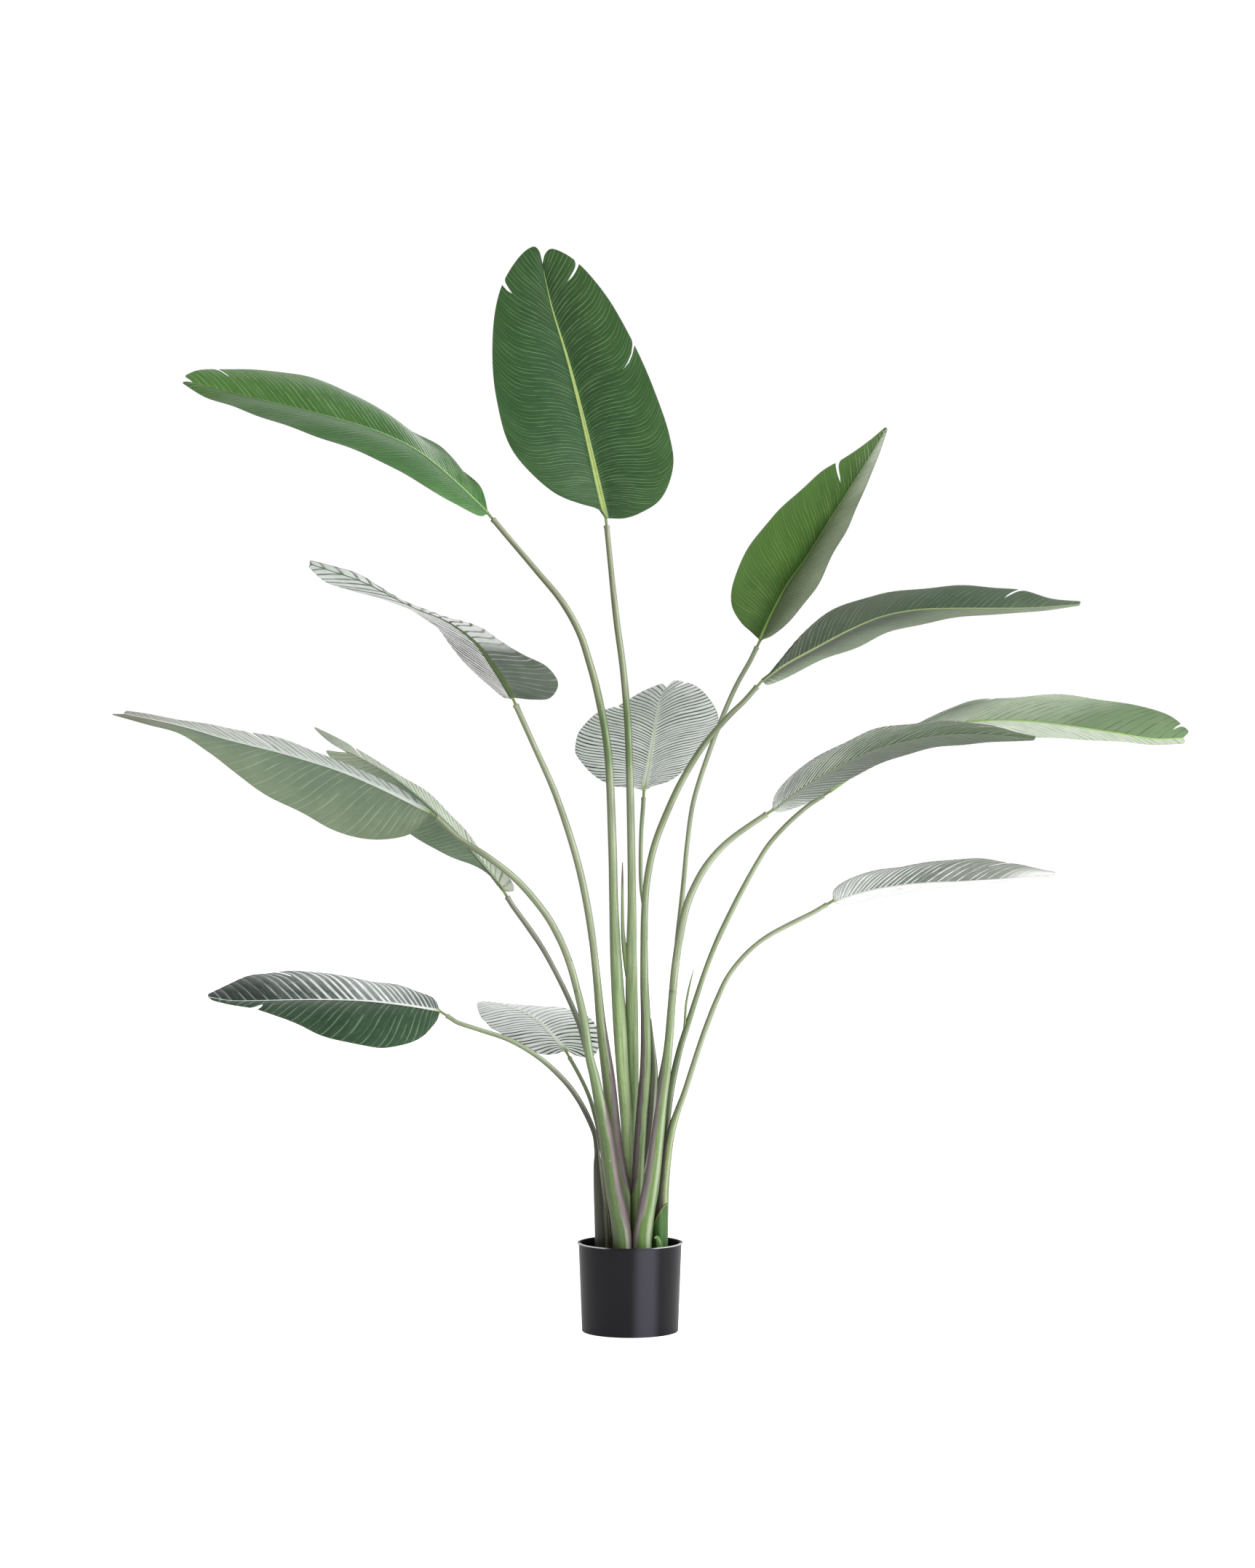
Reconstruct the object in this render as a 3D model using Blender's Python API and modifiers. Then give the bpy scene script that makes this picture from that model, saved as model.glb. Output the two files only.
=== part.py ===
"""An artificial banana plant in a nursery pot: thirteen broad leaves on long stems, set in a weighted pot.

Metres, +Z up. The origin is the middle of the pot's underside. +X is to the right of the plant's front view,
and -Y is towards the viewer.

Places on leaves and stems are written as they are seen in the front view: how far across from the pot's middle
and how far up, both at the scale of the pot, and how far away behind the pot's middle. placed() moves each one
along its line of sight to where it really is.
"""

import math

import bmesh
import bpy
import numpy as np

# Front view that the places were measured in
EYE_DISTANCE = 5.0
EYE_HEIGHT = 0.8

# Pot and filling
POT_HEIGHT = 0.145
POT_BASE_RADIUS = 0.079
POT_TOP_RADIUS = 0.0845
LIP_RADIUS = 0.0865
LIP_HEIGHT = 0.003
POT_WALL = 0.0025
POT_FLOOR = 0.004
FOOT_BEVEL = 0.0015
FILLING_TOP = 0.110
POT_SIDES = 40
TOUCHING_GAP = 0.0003

# Stems
STEM_FOOT = 0.030
STEM_LEAVES_FILLING = FILLING_TOP + 0.003
STEM_SPACING = 0.055
TUBE_SIDES = 8
HOLE_SIDES = 12

# Leaves
NECK_LENGTH = 0.012
NECK_HALF_WIDTH = 0.0022
BLADE_THICKNESS = 0.0012
RIB_THICKNESS_BASE = 0.0060
RIB_THICKNESS_TIP = 0.0020
RIB_HALF_WIDTH = 0.0040
VEIN_CROWDING = 1.5
LEAF_ROWS = 20
COLUMN_SHARES = (0.55, 1.0)
PLEAT_DEPTH = 0.0016
EDGE_WAVE_DEPTH = 0.003
EDGE_ROLL = 0.0015
CUP_SHARE = 0.06
VEIN_BOW = 0.12

# Leaves: the midrib from base to tip, then the left and right edges from near the base to the tip, seen from
# the upper side with the tip up. Each place is (across, away, up). A slit is (side, share of the edge's length
# at which it starts, share of the half blade that it cuts, width at the edge).
LEAVES = {
    "leaf_01": {
        "rib": [(-0.040, 0.030, 1.338), (-0.082, 0.040, 1.519), (-0.104, 0.048, 1.603),
                (-0.130, 0.060, 1.689), (-0.145, 0.070, 1.757)],
        "left": [(-0.058, 0.024, 1.359), (-0.091, 0.012, 1.367), (-0.133, 0.006, 1.387), (-0.194, 0.008, 1.452),
                 (-0.220, 0.016, 1.538), (-0.226, 0.030, 1.640), (-0.213, 0.046, 1.717), (-0.184, 0.060, 1.764),
                 (-0.157, 0.072, 1.787)],
        "right": [(-0.010, 0.022, 1.338), (0.016, 0.016, 1.347), (0.050, 0.008, 1.371), (0.070, 0.006, 1.423),
                  (0.064, 0.010, 1.473), (0.037, 0.018, 1.554), (0.002, 0.030, 1.632), (-0.040, 0.045, 1.705),
                  (-0.078, 0.058, 1.748), (-0.133, 0.072, 1.783)],
        "slits": [("right", 0.61, 0.25, 0.008), ("left", 0.85, 0.15, 0.006), ("right", 0.93, 0.60, 0.007)],
    },
    "leaf_02": {
        "rib": [(-0.235, 0.030, 1.346), (-0.298, 0.028, 1.406), (-0.349, 0.024, 1.447), (-0.408, 0.020, 1.477),
                (-0.481, 0.014, 1.501), (-0.554, 0.008, 1.520), (-0.629, 0.002, 1.538), (-0.722, -0.004, 1.562)],
        "left": [(-0.246, 0.012, 1.341), (-0.290, -0.030, 1.363), (-0.335, -0.060, 1.388), (-0.390, -0.080, 1.422),
                 (-0.463, -0.095, 1.454), (-0.526, -0.098, 1.477), (-0.599, -0.085, 1.502),
                 (-0.648, -0.065, 1.521), (-0.700, -0.035, 1.538), (-0.741, -0.012, 1.563)],
        "right": [(-0.248, 0.060, 1.390), (-0.283, 0.092, 1.422), (-0.312, 0.110, 1.454), (-0.371, 0.122, 1.488),
                  (-0.452, 0.118, 1.540), (-0.522, 0.105, 1.568), (-0.592, 0.080, 1.581),
                  (-0.660, 0.050, 1.583), (-0.713, 0.025, 1.582), (-0.737, 0.008, 1.572)],
        "slits": [("right", 0.90, 0.45, 0.005)],
    },
    "leaf_03": {
        "rib": [(-0.194, 0.000, 1.041), (-0.228, -0.002, 1.095), (-0.253, -0.004, 1.130), (-0.299, -0.008, 1.166),
                (-0.360, -0.012, 1.192), (-0.439, -0.018, 1.232), (-0.528, -0.024, 1.262)],
        "left": [(-0.160, -0.016, 1.038), (-0.133, -0.030, 1.041), (-0.120, -0.044, 1.064), (-0.137, -0.056, 1.090),
                 (-0.176, -0.070, 1.111), (-0.216, -0.085, 1.136), (-0.253, -0.096, 1.158), (-0.320, -0.104, 1.182),
                 (-0.376, -0.102, 1.203), (-0.443, -0.086, 1.242), (-0.492, -0.060, 1.258),
                 (-0.530, -0.028, 1.268)],
        "right": [(-0.206, 0.022, 1.040), (-0.230, 0.048, 1.060), (-0.269, 0.070, 1.094), (-0.292, 0.084, 1.124),
                  (-0.333, 0.092, 1.166), (-0.380, 0.090, 1.197), (-0.430, 0.078, 1.212), (-0.463, 0.064, 1.219),
                  (-0.499, 0.042, 1.231), (-0.530, 0.006, 1.257)],
        "slits": [("left", 0.80, 0.40, 0.006), ("right", 0.85, 0.50, 0.006)],
    },
    "leaf_04": {
        "rib": [(-0.329, -0.030, 0.852), (-0.401, -0.042, 0.888), (-0.473, -0.050, 0.919), (-0.570, -0.054, 0.949),
                (-0.666, -0.056, 0.973), (-0.743, -0.058, 0.995), (-0.835, -0.060, 1.014)],
        "left": [(-0.344, -0.002, 0.868), (-0.372, 0.030, 0.886), (-0.425, 0.056, 0.914), (-0.487, 0.072, 0.938),
                 (-0.546, 0.078, 0.963), (-0.613, 0.066, 0.981), (-0.690, 0.044, 0.995), (-0.743, 0.018, 1.004),
                 (-0.787, -0.014, 1.012), (-0.832, -0.048, 1.019)],
        "right": [(-0.338, -0.026, 0.838), (-0.362, -0.018, 0.817), (-0.410, -0.012, 0.808), (-0.449, -0.012, 0.811),
                  (-0.487, -0.014, 0.823), (-0.536, -0.020, 0.850), (-0.594, -0.030, 0.878),
                  (-0.652, -0.040, 0.919), (-0.692, -0.048, 0.950), (-0.743, -0.058, 0.982),
                  (-0.800, -0.064, 0.998), (-0.856, -0.066, 1.014)],
        "slits": [("left", 0.62, 0.35, 0.007)],
    },
    "leaf_05": {
        "rib": [(-0.209, 0.050, 0.723), (-0.265, 0.085, 0.794), (-0.329, 0.115, 0.860), (-0.391, 0.135, 0.910),
                (-0.430, 0.143, 0.933), (-0.462, 0.149, 0.950)],
        "left": [(-0.192, 0.070, 0.722), (-0.196, 0.086, 0.738), (-0.242, 0.140, 0.784), (-0.281, 0.170, 0.832),
                 (-0.319, 0.195, 0.871), (-0.353, 0.208, 0.897), (-0.406, 0.214, 0.928), (-0.458, 0.200, 0.961),
                 (-0.522, 0.165, 0.993)],
        "right": [(-0.218, 0.054, 0.735), (-0.240, 0.062, 0.756), (-0.305, 0.082, 0.784), (-0.360, 0.102, 0.816),
                  (-0.415, 0.120, 0.858), (-0.463, 0.134, 0.905), (-0.502, 0.144, 0.955)],
        "slits": [("left", 0.84, 0.60, 0.008)],
    },
    "leaf_06": {
        "rib": [(-0.313, -0.050, 0.524), (-0.361, -0.054, 0.532), (-0.432, -0.060, 0.540), (-0.488, -0.064, 0.542),
                (-0.545, -0.068, 0.542), (-0.602, -0.071, 0.541), (-0.659, -0.074, 0.541), (-0.694, -0.076, 0.547)],
        "left": [(-0.318, -0.062, 0.510), (-0.328, -0.082, 0.497), (-0.341, -0.100, 0.484), (-0.367, -0.122, 0.471),
                 (-0.403, -0.140, 0.465), (-0.432, -0.146, 0.468), (-0.474, -0.146, 0.475),
                 (-0.511, -0.138, 0.487), (-0.545, -0.125, 0.502), (-0.580, -0.108, 0.517),
                 (-0.618, -0.092, 0.528), (-0.660, -0.084, 0.536), (-0.690, -0.079, 0.543)],
        "right": [(-0.322, -0.030, 0.543), (-0.347, -0.002, 0.555), (-0.382, 0.026, 0.566), (-0.432, 0.044, 0.574),
                  (-0.474, 0.050, 0.581), (-0.511, 0.048, 0.588), (-0.557, 0.036, 0.589), (-0.596, 0.016, 0.586),
                  (-0.622, -0.004, 0.583), (-0.659, -0.038, 0.568), (-0.697, -0.072, 0.550)],
        "slits": [("right", 0.69, 0.35, 0.008), ("left", 0.83, 0.50, 0.010)],
    },
    "leaf_07": {
        "rib": [(-0.106, 0.100, 0.459), (-0.130, 0.155, 0.486), (-0.152, 0.215, 0.508), (-0.180, 0.275, 0.524),
                (-0.215, 0.325, 0.534), (-0.246, 0.356, 0.539)],
        "left": [(-0.122, 0.096, 0.454), (-0.144, 0.102, 0.454), (-0.165, 0.114, 0.463), (-0.190, 0.134, 0.475),
                 (-0.209, 0.160, 0.486), (-0.226, 0.200, 0.497), (-0.240, 0.250, 0.510), (-0.248, 0.300, 0.523),
                 (-0.251, 0.352, 0.538)],
        "right": [(-0.086, 0.104, 0.450), (-0.064, 0.122, 0.450), (-0.054, 0.150, 0.462), (-0.052, 0.195, 0.488),
                  (-0.066, 0.242, 0.511), (-0.097, 0.290, 0.526), (-0.140, 0.330, 0.532), (-0.188, 0.352, 0.534),
                  (-0.242, 0.362, 0.541)],
        "slits": [("right", 0.80, 0.35, 0.006)],
    },
    "leaf_08": {
        "rib": [(0.023, 0.100, 0.888), (0.031, 0.155, 0.926), (0.038, 0.225, 0.970), (0.046, 0.300, 1.018),
                (0.051, 0.345, 1.041), (0.060, 0.370, 1.056)],
        "left": [(0.004, 0.096, 0.893), (-0.024, 0.098, 0.895), (-0.061, 0.112, 0.915), (-0.086, 0.140, 0.945),
                 (-0.088, 0.180, 0.965), (-0.080, 0.220, 0.988), (-0.053, 0.270, 1.014), (-0.011, 0.315, 1.031),
                 (0.025, 0.350, 1.052), (0.054, 0.376, 1.064)],
        "right": [(0.040, 0.098, 0.896), (0.060, 0.104, 0.902), (0.086, 0.124, 0.920), (0.116, 0.165, 0.956),
                  (0.142, 0.225, 0.992), (0.143, 0.268, 1.014), (0.126, 0.310, 1.043), (0.102, 0.340, 1.062),
                  (0.074, 0.372, 1.069)],
        "slits": [("left", 0.75, 0.25, 0.006), ("right", 0.93, 0.60, 0.008), ("left", 0.90, 0.30, 0.005)],
    },
    "leaf_09": {
        "rib": [(0.215, 0.060, 1.136), (0.232, 0.066, 1.174), (0.258, 0.074, 1.224), (0.289, 0.082, 1.268),
                (0.336, 0.094, 1.344), (0.378, 0.104, 1.411), (0.424, 0.114, 1.487)],
        "left": [(0.200, 0.046, 1.150), (0.184, 0.032, 1.165), (0.170, 0.018, 1.190), (0.168, 0.008, 1.215),
                 (0.176, 0.002, 1.246), (0.198, 0.004, 1.290), (0.235, 0.018, 1.338), (0.274, 0.034, 1.375),
                 (0.316, 0.054, 1.413), (0.354, 0.076, 1.436), (0.396, 0.098, 1.465), (0.423, 0.112, 1.488)],
        "right": [(0.230, 0.046, 1.141), (0.246, 0.026, 1.152), (0.262, 0.006, 1.167), (0.282, -0.012, 1.190),
                  (0.305, -0.018, 1.220), (0.325, -0.012, 1.260), (0.349, 0.008, 1.304), (0.372, 0.036, 1.350),
                  (0.386, 0.062, 1.385), (0.404, 0.086, 1.426), (0.425, 0.110, 1.486)],
        "slits": [("left", 0.78, 0.60, 0.010)],
    },
    "leaf_10": {
        "rib": [(0.218, -0.010, 1.069), (0.251, -0.011, 1.093), (0.305, -0.011, 1.123), (0.359, -0.010, 1.152),
                (0.413, -0.008, 1.175), (0.467, -0.006, 1.186), (0.530, -0.003, 1.189), (0.600, 0.000, 1.189),
                (0.665, 0.003, 1.190), (0.742, 0.006, 1.196)],
        "left": [(0.226, 0.016, 1.062), (0.244, 0.042, 1.068), (0.284, 0.070, 1.088), (0.323, 0.088, 1.106),
                 (0.377, 0.100, 1.126), (0.430, 0.100, 1.150), (0.506, 0.092, 1.168), (0.580, 0.074, 1.178),
                 (0.665, 0.040, 1.183), (0.744, 0.009, 1.194)],
        "right": [(0.236, -0.030, 1.083), (0.254, -0.060, 1.106), (0.290, -0.092, 1.150), (0.341, -0.108, 1.189),
                  (0.406, -0.112, 1.209), (0.467, -0.108, 1.219), (0.532, -0.096, 1.225), (0.590, -0.076, 1.223),
                  (0.644, -0.050, 1.218), (0.694, -0.024, 1.204), (0.745, 0.000, 1.199)],
        "slits": [("right", 0.81, 0.70, 0.009)],
    },
    "leaf_11": {
        "rib": [(0.236, -0.030, 0.856), (0.278, -0.034, 0.889), (0.340, -0.038, 0.927), (0.396, -0.040, 0.953),
                (0.443, -0.040, 0.967), (0.512, -0.038, 0.980), (0.590, -0.034, 0.981), (0.668, -0.030, 0.974)],
        "left": [(0.246, -0.006, 0.852), (0.278, 0.020, 0.862), (0.317, 0.042, 0.880), (0.349, 0.054, 0.901),
                 (0.396, 0.062, 0.924), (0.443, 0.062, 0.944), (0.500, 0.052, 0.958), (0.559, 0.034, 0.965),
                 (0.620, 0.006, 0.969), (0.668, -0.024, 0.971)],
        "right": [(0.238, -0.052, 0.876), (0.262, -0.082, 0.908), (0.302, -0.112, 0.938), (0.359, -0.134, 0.969),
                  (0.409, -0.142, 0.989), (0.480, -0.140, 0.999), (0.535, -0.126, 1.001), (0.587, -0.100, 0.996),
                  (0.634, -0.066, 0.984), (0.670, -0.036, 0.976)],
        "slits": [("right", 0.84, 0.60, 0.009)],
    },
    "leaf_12": {
        "rib": [(0.329, 0.070, 0.886), (0.401, 0.078, 0.936), (0.461, 0.082, 0.972), (0.527, 0.084, 0.996),
                (0.590, 0.084, 1.004), (0.653, 0.082, 1.003), (0.722, 0.078, 0.995), (0.806, 0.074, 0.982),
                (0.863, 0.070, 0.973), (0.912, 0.066, 0.974)],
        "left": [(0.342, 0.098, 0.893), (0.366, 0.118, 0.909), (0.390, 0.134, 0.926), (0.437, 0.156, 0.947),
                 (0.480, 0.167, 0.962), (0.530, 0.175, 0.970), (0.600, 0.176, 0.974), (0.668, 0.170, 0.975), (0.740, 0.154, 0.973), (0.806, 0.130, 0.969),
                 (0.860, 0.100, 0.964), (0.916, 0.072, 0.966)],
        "right": [(0.335, 0.048, 0.904), (0.366, 0.016, 0.938), (0.420, -0.006, 0.976), (0.482, -0.018, 1.001),
                  (0.554, -0.024, 1.032), (0.620, -0.024, 1.040), (0.700, -0.018, 1.045), (0.769, -0.004, 1.038),
                  (0.839, 0.020, 1.026), (0.890, 0.042, 1.010), (0.922, 0.062, 0.984)],
        "slits": [("right", 0.48, 0.20, 0.004), ("right", 0.97, 0.50, 0.005)],
    },
    "leaf_13": {
        "rib": [(0.335, 0.040, 0.706), (0.385, 0.046, 0.722), (0.439, 0.050, 0.732), (0.492, 0.053, 0.737),
                (0.546, 0.055, 0.739), (0.626, 0.057, 0.744), (0.700, 0.058, 0.750)],
        "left": [(0.346, 0.066, 0.700), (0.376, 0.096, 0.704), (0.412, 0.118, 0.712), (0.466, 0.134, 0.722),
                 (0.520, 0.138, 0.730), (0.580, 0.126, 0.736), (0.642, 0.098, 0.741), (0.700, 0.062, 0.747)],
        "right": [(0.336, 0.016, 0.722), (0.361, -0.014, 0.741), (0.412, -0.040, 0.756), (0.455, -0.050, 0.763),
                  (0.492, -0.054, 0.768), (0.538, -0.050, 0.774), (0.577, -0.038, 0.774), (0.619, -0.016, 0.769),
                  (0.662, 0.018, 0.760), (0.702, 0.052, 0.752)],
        "slits": [("right", 0.76, 0.55, 0.009)],
    },
}

# Stems: the foot's true place in the filling (x, y), then the stem's middle from just above the pot to just
# below the leaf, as (across, away, up), with the stem's radius there.
STEMS = {
    "stem_01": ((0.004, 0.044), 0.0105, [
        (0.0020, 0.044, 0.247, 0.0105), (0.0035, 0.038, 0.400, 0.0108), (0.0030, 0.031, 0.506, 0.0106),
        (0.0022, 0.030, 0.604, 0.0094), (0.0030, 0.030, 0.702, 0.0071), (0.0007, 0.030, 0.860, 0.0064),
        (-0.0035, 0.030, 0.994, 0.0060), (-0.0108, 0.030, 1.082, 0.0056), (-0.0232, 0.030, 1.176, 0.0053),
        (-0.0332, 0.030, 1.270, 0.0044)]),
    "stem_02": ((-0.006, 0.019), 0.0100, [
        (-0.0020, 0.018, 0.238, 0.0100), (-0.0050, 0.017, 0.330, 0.0100), (-0.0120, 0.021, 0.421, 0.0100),
        (-0.0180, 0.025, 0.506, 0.0098), (-0.0240, 0.028, 0.604, 0.0090), (-0.0268, 0.029, 0.698, 0.0075),
        (-0.0292, 0.030, 0.800, 0.0071), (-0.0375, 0.031, 0.960, 0.0065), (-0.0541, 0.032, 1.051, 0.0062),
        (-0.0670, 0.032, 1.099, 0.0059), (-0.0830, 0.032, 1.147, 0.0056), (-0.1120, 0.032, 1.199, 0.0053),
        (-0.1530, 0.031, 1.249, 0.0047), (-0.2022, 0.031, 1.307, 0.0044)]),
    "stem_03": ((-0.012, -0.006), 0.0095, [
        (-0.0090, -0.006, 0.225, 0.0104), (-0.0148, -0.006, 0.258, 0.0106), (-0.0203, -0.006, 0.288, 0.0106),
        (-0.0240, -0.006, 0.313, 0.0106), (-0.0278, -0.006, 0.346, 0.0108), (-0.0330, -0.006, 0.392, 0.0110),
        (-0.0360, -0.006, 0.418, 0.0108), (-0.0408, -0.006, 0.452, 0.0098), (-0.0480, -0.005, 0.506, 0.0080),
        (-0.0545, -0.005, 0.575, 0.0066), (-0.0630, -0.004, 0.649, 0.0060), (-0.0749, -0.003, 0.719, 0.0059),
        (-0.0900, -0.002, 0.782, 0.0057), (-0.1235, -0.001, 0.883, 0.0052), (-0.1590, 0.000, 0.963, 0.0046)]),
    "stem_04": ((-0.014, -0.045), 0.0155, [
        (-0.0140, -0.045, 0.150, 0.0157), (-0.0205, -0.044, 0.195, 0.0142), (-0.0262, -0.042, 0.232, 0.0130),
        (-0.0320, -0.040, 0.269, 0.0123), (-0.0373, -0.037, 0.306, 0.0120), (-0.0438, -0.034, 0.343, 0.0110),
        (-0.0510, -0.032, 0.379, 0.0094), (-0.0590, -0.031, 0.418, 0.0083), (-0.0664, -0.030, 0.447, 0.0073),
        (-0.0765, -0.030, 0.512, 0.0068), (-0.0876, -0.030, 0.560, 0.0062), (-0.1004, -0.030, 0.605, 0.0060),
        (-0.1160, -0.030, 0.643, 0.0058), (-0.1380, -0.030, 0.682, 0.0056), (-0.1859, -0.030, 0.739, 0.0054),
        (-0.2350, -0.030, 0.778, 0.0052), (-0.2860, -0.030, 0.811, 0.0050)]),
    "stem_05": ((-0.037, 0.023), 0.0066, [
        (-0.0395, 0.024, 0.280, 0.0066), (-0.0470, 0.026, 0.340, 0.0058), (-0.0535, 0.027, 0.380, 0.0055),
        (-0.0605, 0.028, 0.420, 0.0052), (-0.0738, 0.030, 0.468, 0.0049), (-0.0825, 0.031, 0.500, 0.0047),
        (-0.0968, 0.033, 0.535, 0.0045), (-0.1204, 0.036, 0.584, 0.0043), (-0.1439, 0.040, 0.627, 0.0045),
        (-0.1676, 0.044, 0.662, 0.0044), (-0.1945, 0.048, 0.699, 0.0041)]),
    "stem_06": ((-0.0455, -0.004), 0.0125, [
        (-0.0455, -0.004, 0.152, 0.0125), (-0.0475, -0.004, 0.195, 0.0115), (-0.0500, -0.004, 0.230, 0.0100),
        (-0.0520, -0.005, 0.255, 0.0084), (-0.0533, -0.005, 0.274, 0.0068), (-0.0540, -0.005, 0.288, 0.0048),
        (-0.0550, -0.006, 0.300, 0.0044), (-0.0580, -0.008, 0.321, 0.0043), (-0.0700, -0.012, 0.351, 0.0046),
        (-0.0864, -0.018, 0.381, 0.0046), (-0.1058, -0.024, 0.407, 0.0046), (-0.1462, -0.034, 0.445, 0.0043),
        (-0.1960, -0.041, 0.4755, 0.0041), (-0.2462, -0.046, 0.493, 0.0039), (-0.2852, -0.049, 0.506, 0.0038)]),
    "stem_07": ((-0.030, 0.048), 0.0050, [
        (-0.0380, 0.054, 0.240, 0.0046), (-0.0500, 0.064, 0.320, 0.0040), (-0.0575, 0.071, 0.351, 0.0036),
        (-0.0645, 0.078, 0.376, 0.0035), (-0.0741, 0.085, 0.400, 0.0034), (-0.0895, 0.093, 0.430, 0.0034)]),
    "stem_08": ((0.012, 0.070), 0.0052, [
        (0.0160, 0.070, 0.300, 0.0052), (0.0230, 0.071, 0.420, 0.0048), (0.0255, 0.073, 0.520, 0.0042),
        (0.0245, 0.075, 0.610, 0.0036), (0.0248, 0.077, 0.660, 0.0034), (0.0228, 0.079, 0.694, 0.0032),
        (0.0190, 0.081, 0.722, 0.0030), (0.0176, 0.085, 0.750, 0.0032), (0.0186, 0.090, 0.820, 0.0034),
        (0.0214, 0.096, 0.860, 0.0035)]),
    "stem_09": ((0.025, 0.052), 0.0060, [
        (0.0340, 0.052, 0.300, 0.0060), (0.0490, 0.050, 0.400, 0.0056), (0.0600, 0.049, 0.460, 0.0052),
        (0.0670, 0.048, 0.537, 0.0048), (0.0735, 0.047, 0.598, 0.0045), (0.0800, 0.046, 0.660, 0.0042),
        (0.0845, 0.046, 0.700, 0.0040), (0.0884, 0.046, 0.739, 0.0038), (0.0943, 0.047, 0.800, 0.0037),
        (0.1043, 0.048, 0.868, 0.0038), (0.1330, 0.051, 0.958, 0.0040), (0.1621, 0.054, 1.032, 0.0039),
        (0.1791, 0.056, 1.068, 0.0039), (0.1984, 0.058, 1.102, 0.0039)]),
    "stem_10": ((0.015, -0.006), 0.0095, [
        (0.0130, -0.006, 0.240, 0.0095), (0.0190, -0.006, 0.348, 0.0098), (0.0255, -0.006, 0.433, 0.0092),
        (0.0258, -0.006, 0.506, 0.0082), (0.0235, -0.006, 0.579, 0.0069), (0.0243, -0.006, 0.697, 0.0056),
        (0.0297, -0.006, 0.751, 0.0056), (0.0410, -0.006, 0.800, 0.0055), (0.0645, -0.006, 0.860, 0.0054),
        (0.0872, -0.007, 0.907, 0.0053), (0.1220, -0.008, 0.963, 0.0050), (0.1626, -0.009, 1.0105, 0.0046),
        (0.1880, -0.010, 1.035, 0.0043)]),
    "stem_11": ((0.021, -0.045), 0.0150, [
        (0.0215, -0.045, 0.150, 0.0153), (0.0270, -0.044, 0.195, 0.0137), (0.0322, -0.043, 0.232, 0.0125),
        (0.0374, -0.041, 0.269, 0.0117), (0.0420, -0.039, 0.306, 0.0106), (0.0470, -0.037, 0.343, 0.0096),
        (0.0530, -0.035, 0.382, 0.0086), (0.0588, -0.033, 0.420, 0.0078), (0.0620, -0.032, 0.455, 0.0075),
        (0.0660, -0.031, 0.500, 0.0068), (0.0687, -0.031, 0.537, 0.0065), (0.0745, -0.030, 0.598, 0.0065),
        (0.0839, -0.030, 0.659, 0.0063), (0.0933, -0.030, 0.698, 0.0061), (0.1054, -0.030, 0.728, 0.0056),
        (0.1218, -0.030, 0.758, 0.0055), (0.1426, -0.030, 0.785, 0.0052), (0.1655, -0.030, 0.807, 0.0048),
        (0.1954, -0.030, 0.829, 0.0045)]),
    "stem_12": ((0.046, 0.031), 0.0065, [
        (0.0540, 0.031, 0.280, 0.0065), (0.0650, 0.030, 0.382, 0.0062), (0.0730, 0.030, 0.424, 0.0058),
        (0.0830, 0.030, 0.465, 0.0054), (0.0955, 0.031, 0.504, 0.0050), (0.1093, 0.033, 0.547, 0.0045),
        (0.1234, 0.036, 0.589, 0.0043), (0.1405, 0.040, 0.633, 0.0044), (0.1606, 0.045, 0.676, 0.0044),
        (0.1839, 0.049, 0.722, 0.0042), (0.2078, 0.053, 0.765, 0.0039), (0.2292, 0.056, 0.799, 0.0038),
        (0.2600, 0.060, 0.833, 0.0038), (0.2956, 0.066, 0.864, 0.0038)]),
    "stem_13": ((0.052, 0.006), 0.0100, [
        (0.0530, 0.006, 0.200, 0.0100), (0.0544, 0.007, 0.232, 0.0094), (0.0582, 0.008, 0.269, 0.0086),
        (0.0634, 0.009, 0.306, 0.0076), (0.0700, 0.011, 0.335, 0.0066), (0.0790, 0.013, 0.362, 0.0054),
        (0.0892, 0.014, 0.389, 0.0049), (0.1012, 0.017, 0.4265, 0.0047), (0.1194, 0.020, 0.4815, 0.0047),
        (0.1313, 0.022, 0.514, 0.0046), (0.1447, 0.025, 0.547, 0.0044), (0.1596, 0.027, 0.578, 0.0042),
        (0.1774, 0.030, 0.603, 0.0041), (0.2012, 0.032, 0.628, 0.0039), (0.2294, 0.034, 0.649, 0.0038),
        (0.2617, 0.036, 0.6665, 0.0038), (0.3046, 0.038, 0.688, 0.0037)]),
}

# What grows out of a stem's side, from a root inside the stem to the tip: (across, away, up, radius). Two are
# young rolled leaves, and the one on stem_10 is the free edge of its sheath.
SIDE_SHOOTS = {
    "stem_01": [(0.004, 0.033, 0.560, 0.0055), (-0.003, 0.036, 0.604, 0.0042), (-0.0098, 0.037, 0.632, 0.0033),
                (-0.0117, 0.037, 0.652, 0.0026), (-0.0125, 0.036, 0.698, 0.0023), (-0.0125, 0.035, 0.742, 0.0017),
                (-0.0125, 0.034, 0.769, 0.0006)],
    "stem_10": [(0.026, -0.004, 0.290, 0.0070), (0.034, -0.002, 0.350, 0.0080), (0.0378, 0.000, 0.405, 0.0080),
                (0.0390, 0.001, 0.432, 0.0064), (0.0372, 0.001, 0.465, 0.0040), (0.0345, 0.000, 0.512, 0.0006)],
    "stem_12": [(0.086, 0.031, 0.470, 0.0030), (0.0895, 0.030, 0.495, 0.0024), (0.0905, 0.029, 0.509, 0.0022),
                (0.0923, 0.027, 0.535, 0.0020), (0.0972, 0.025, 0.562, 0.0018), (0.1044, 0.024, 0.592, 0.0006)],
}

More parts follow.
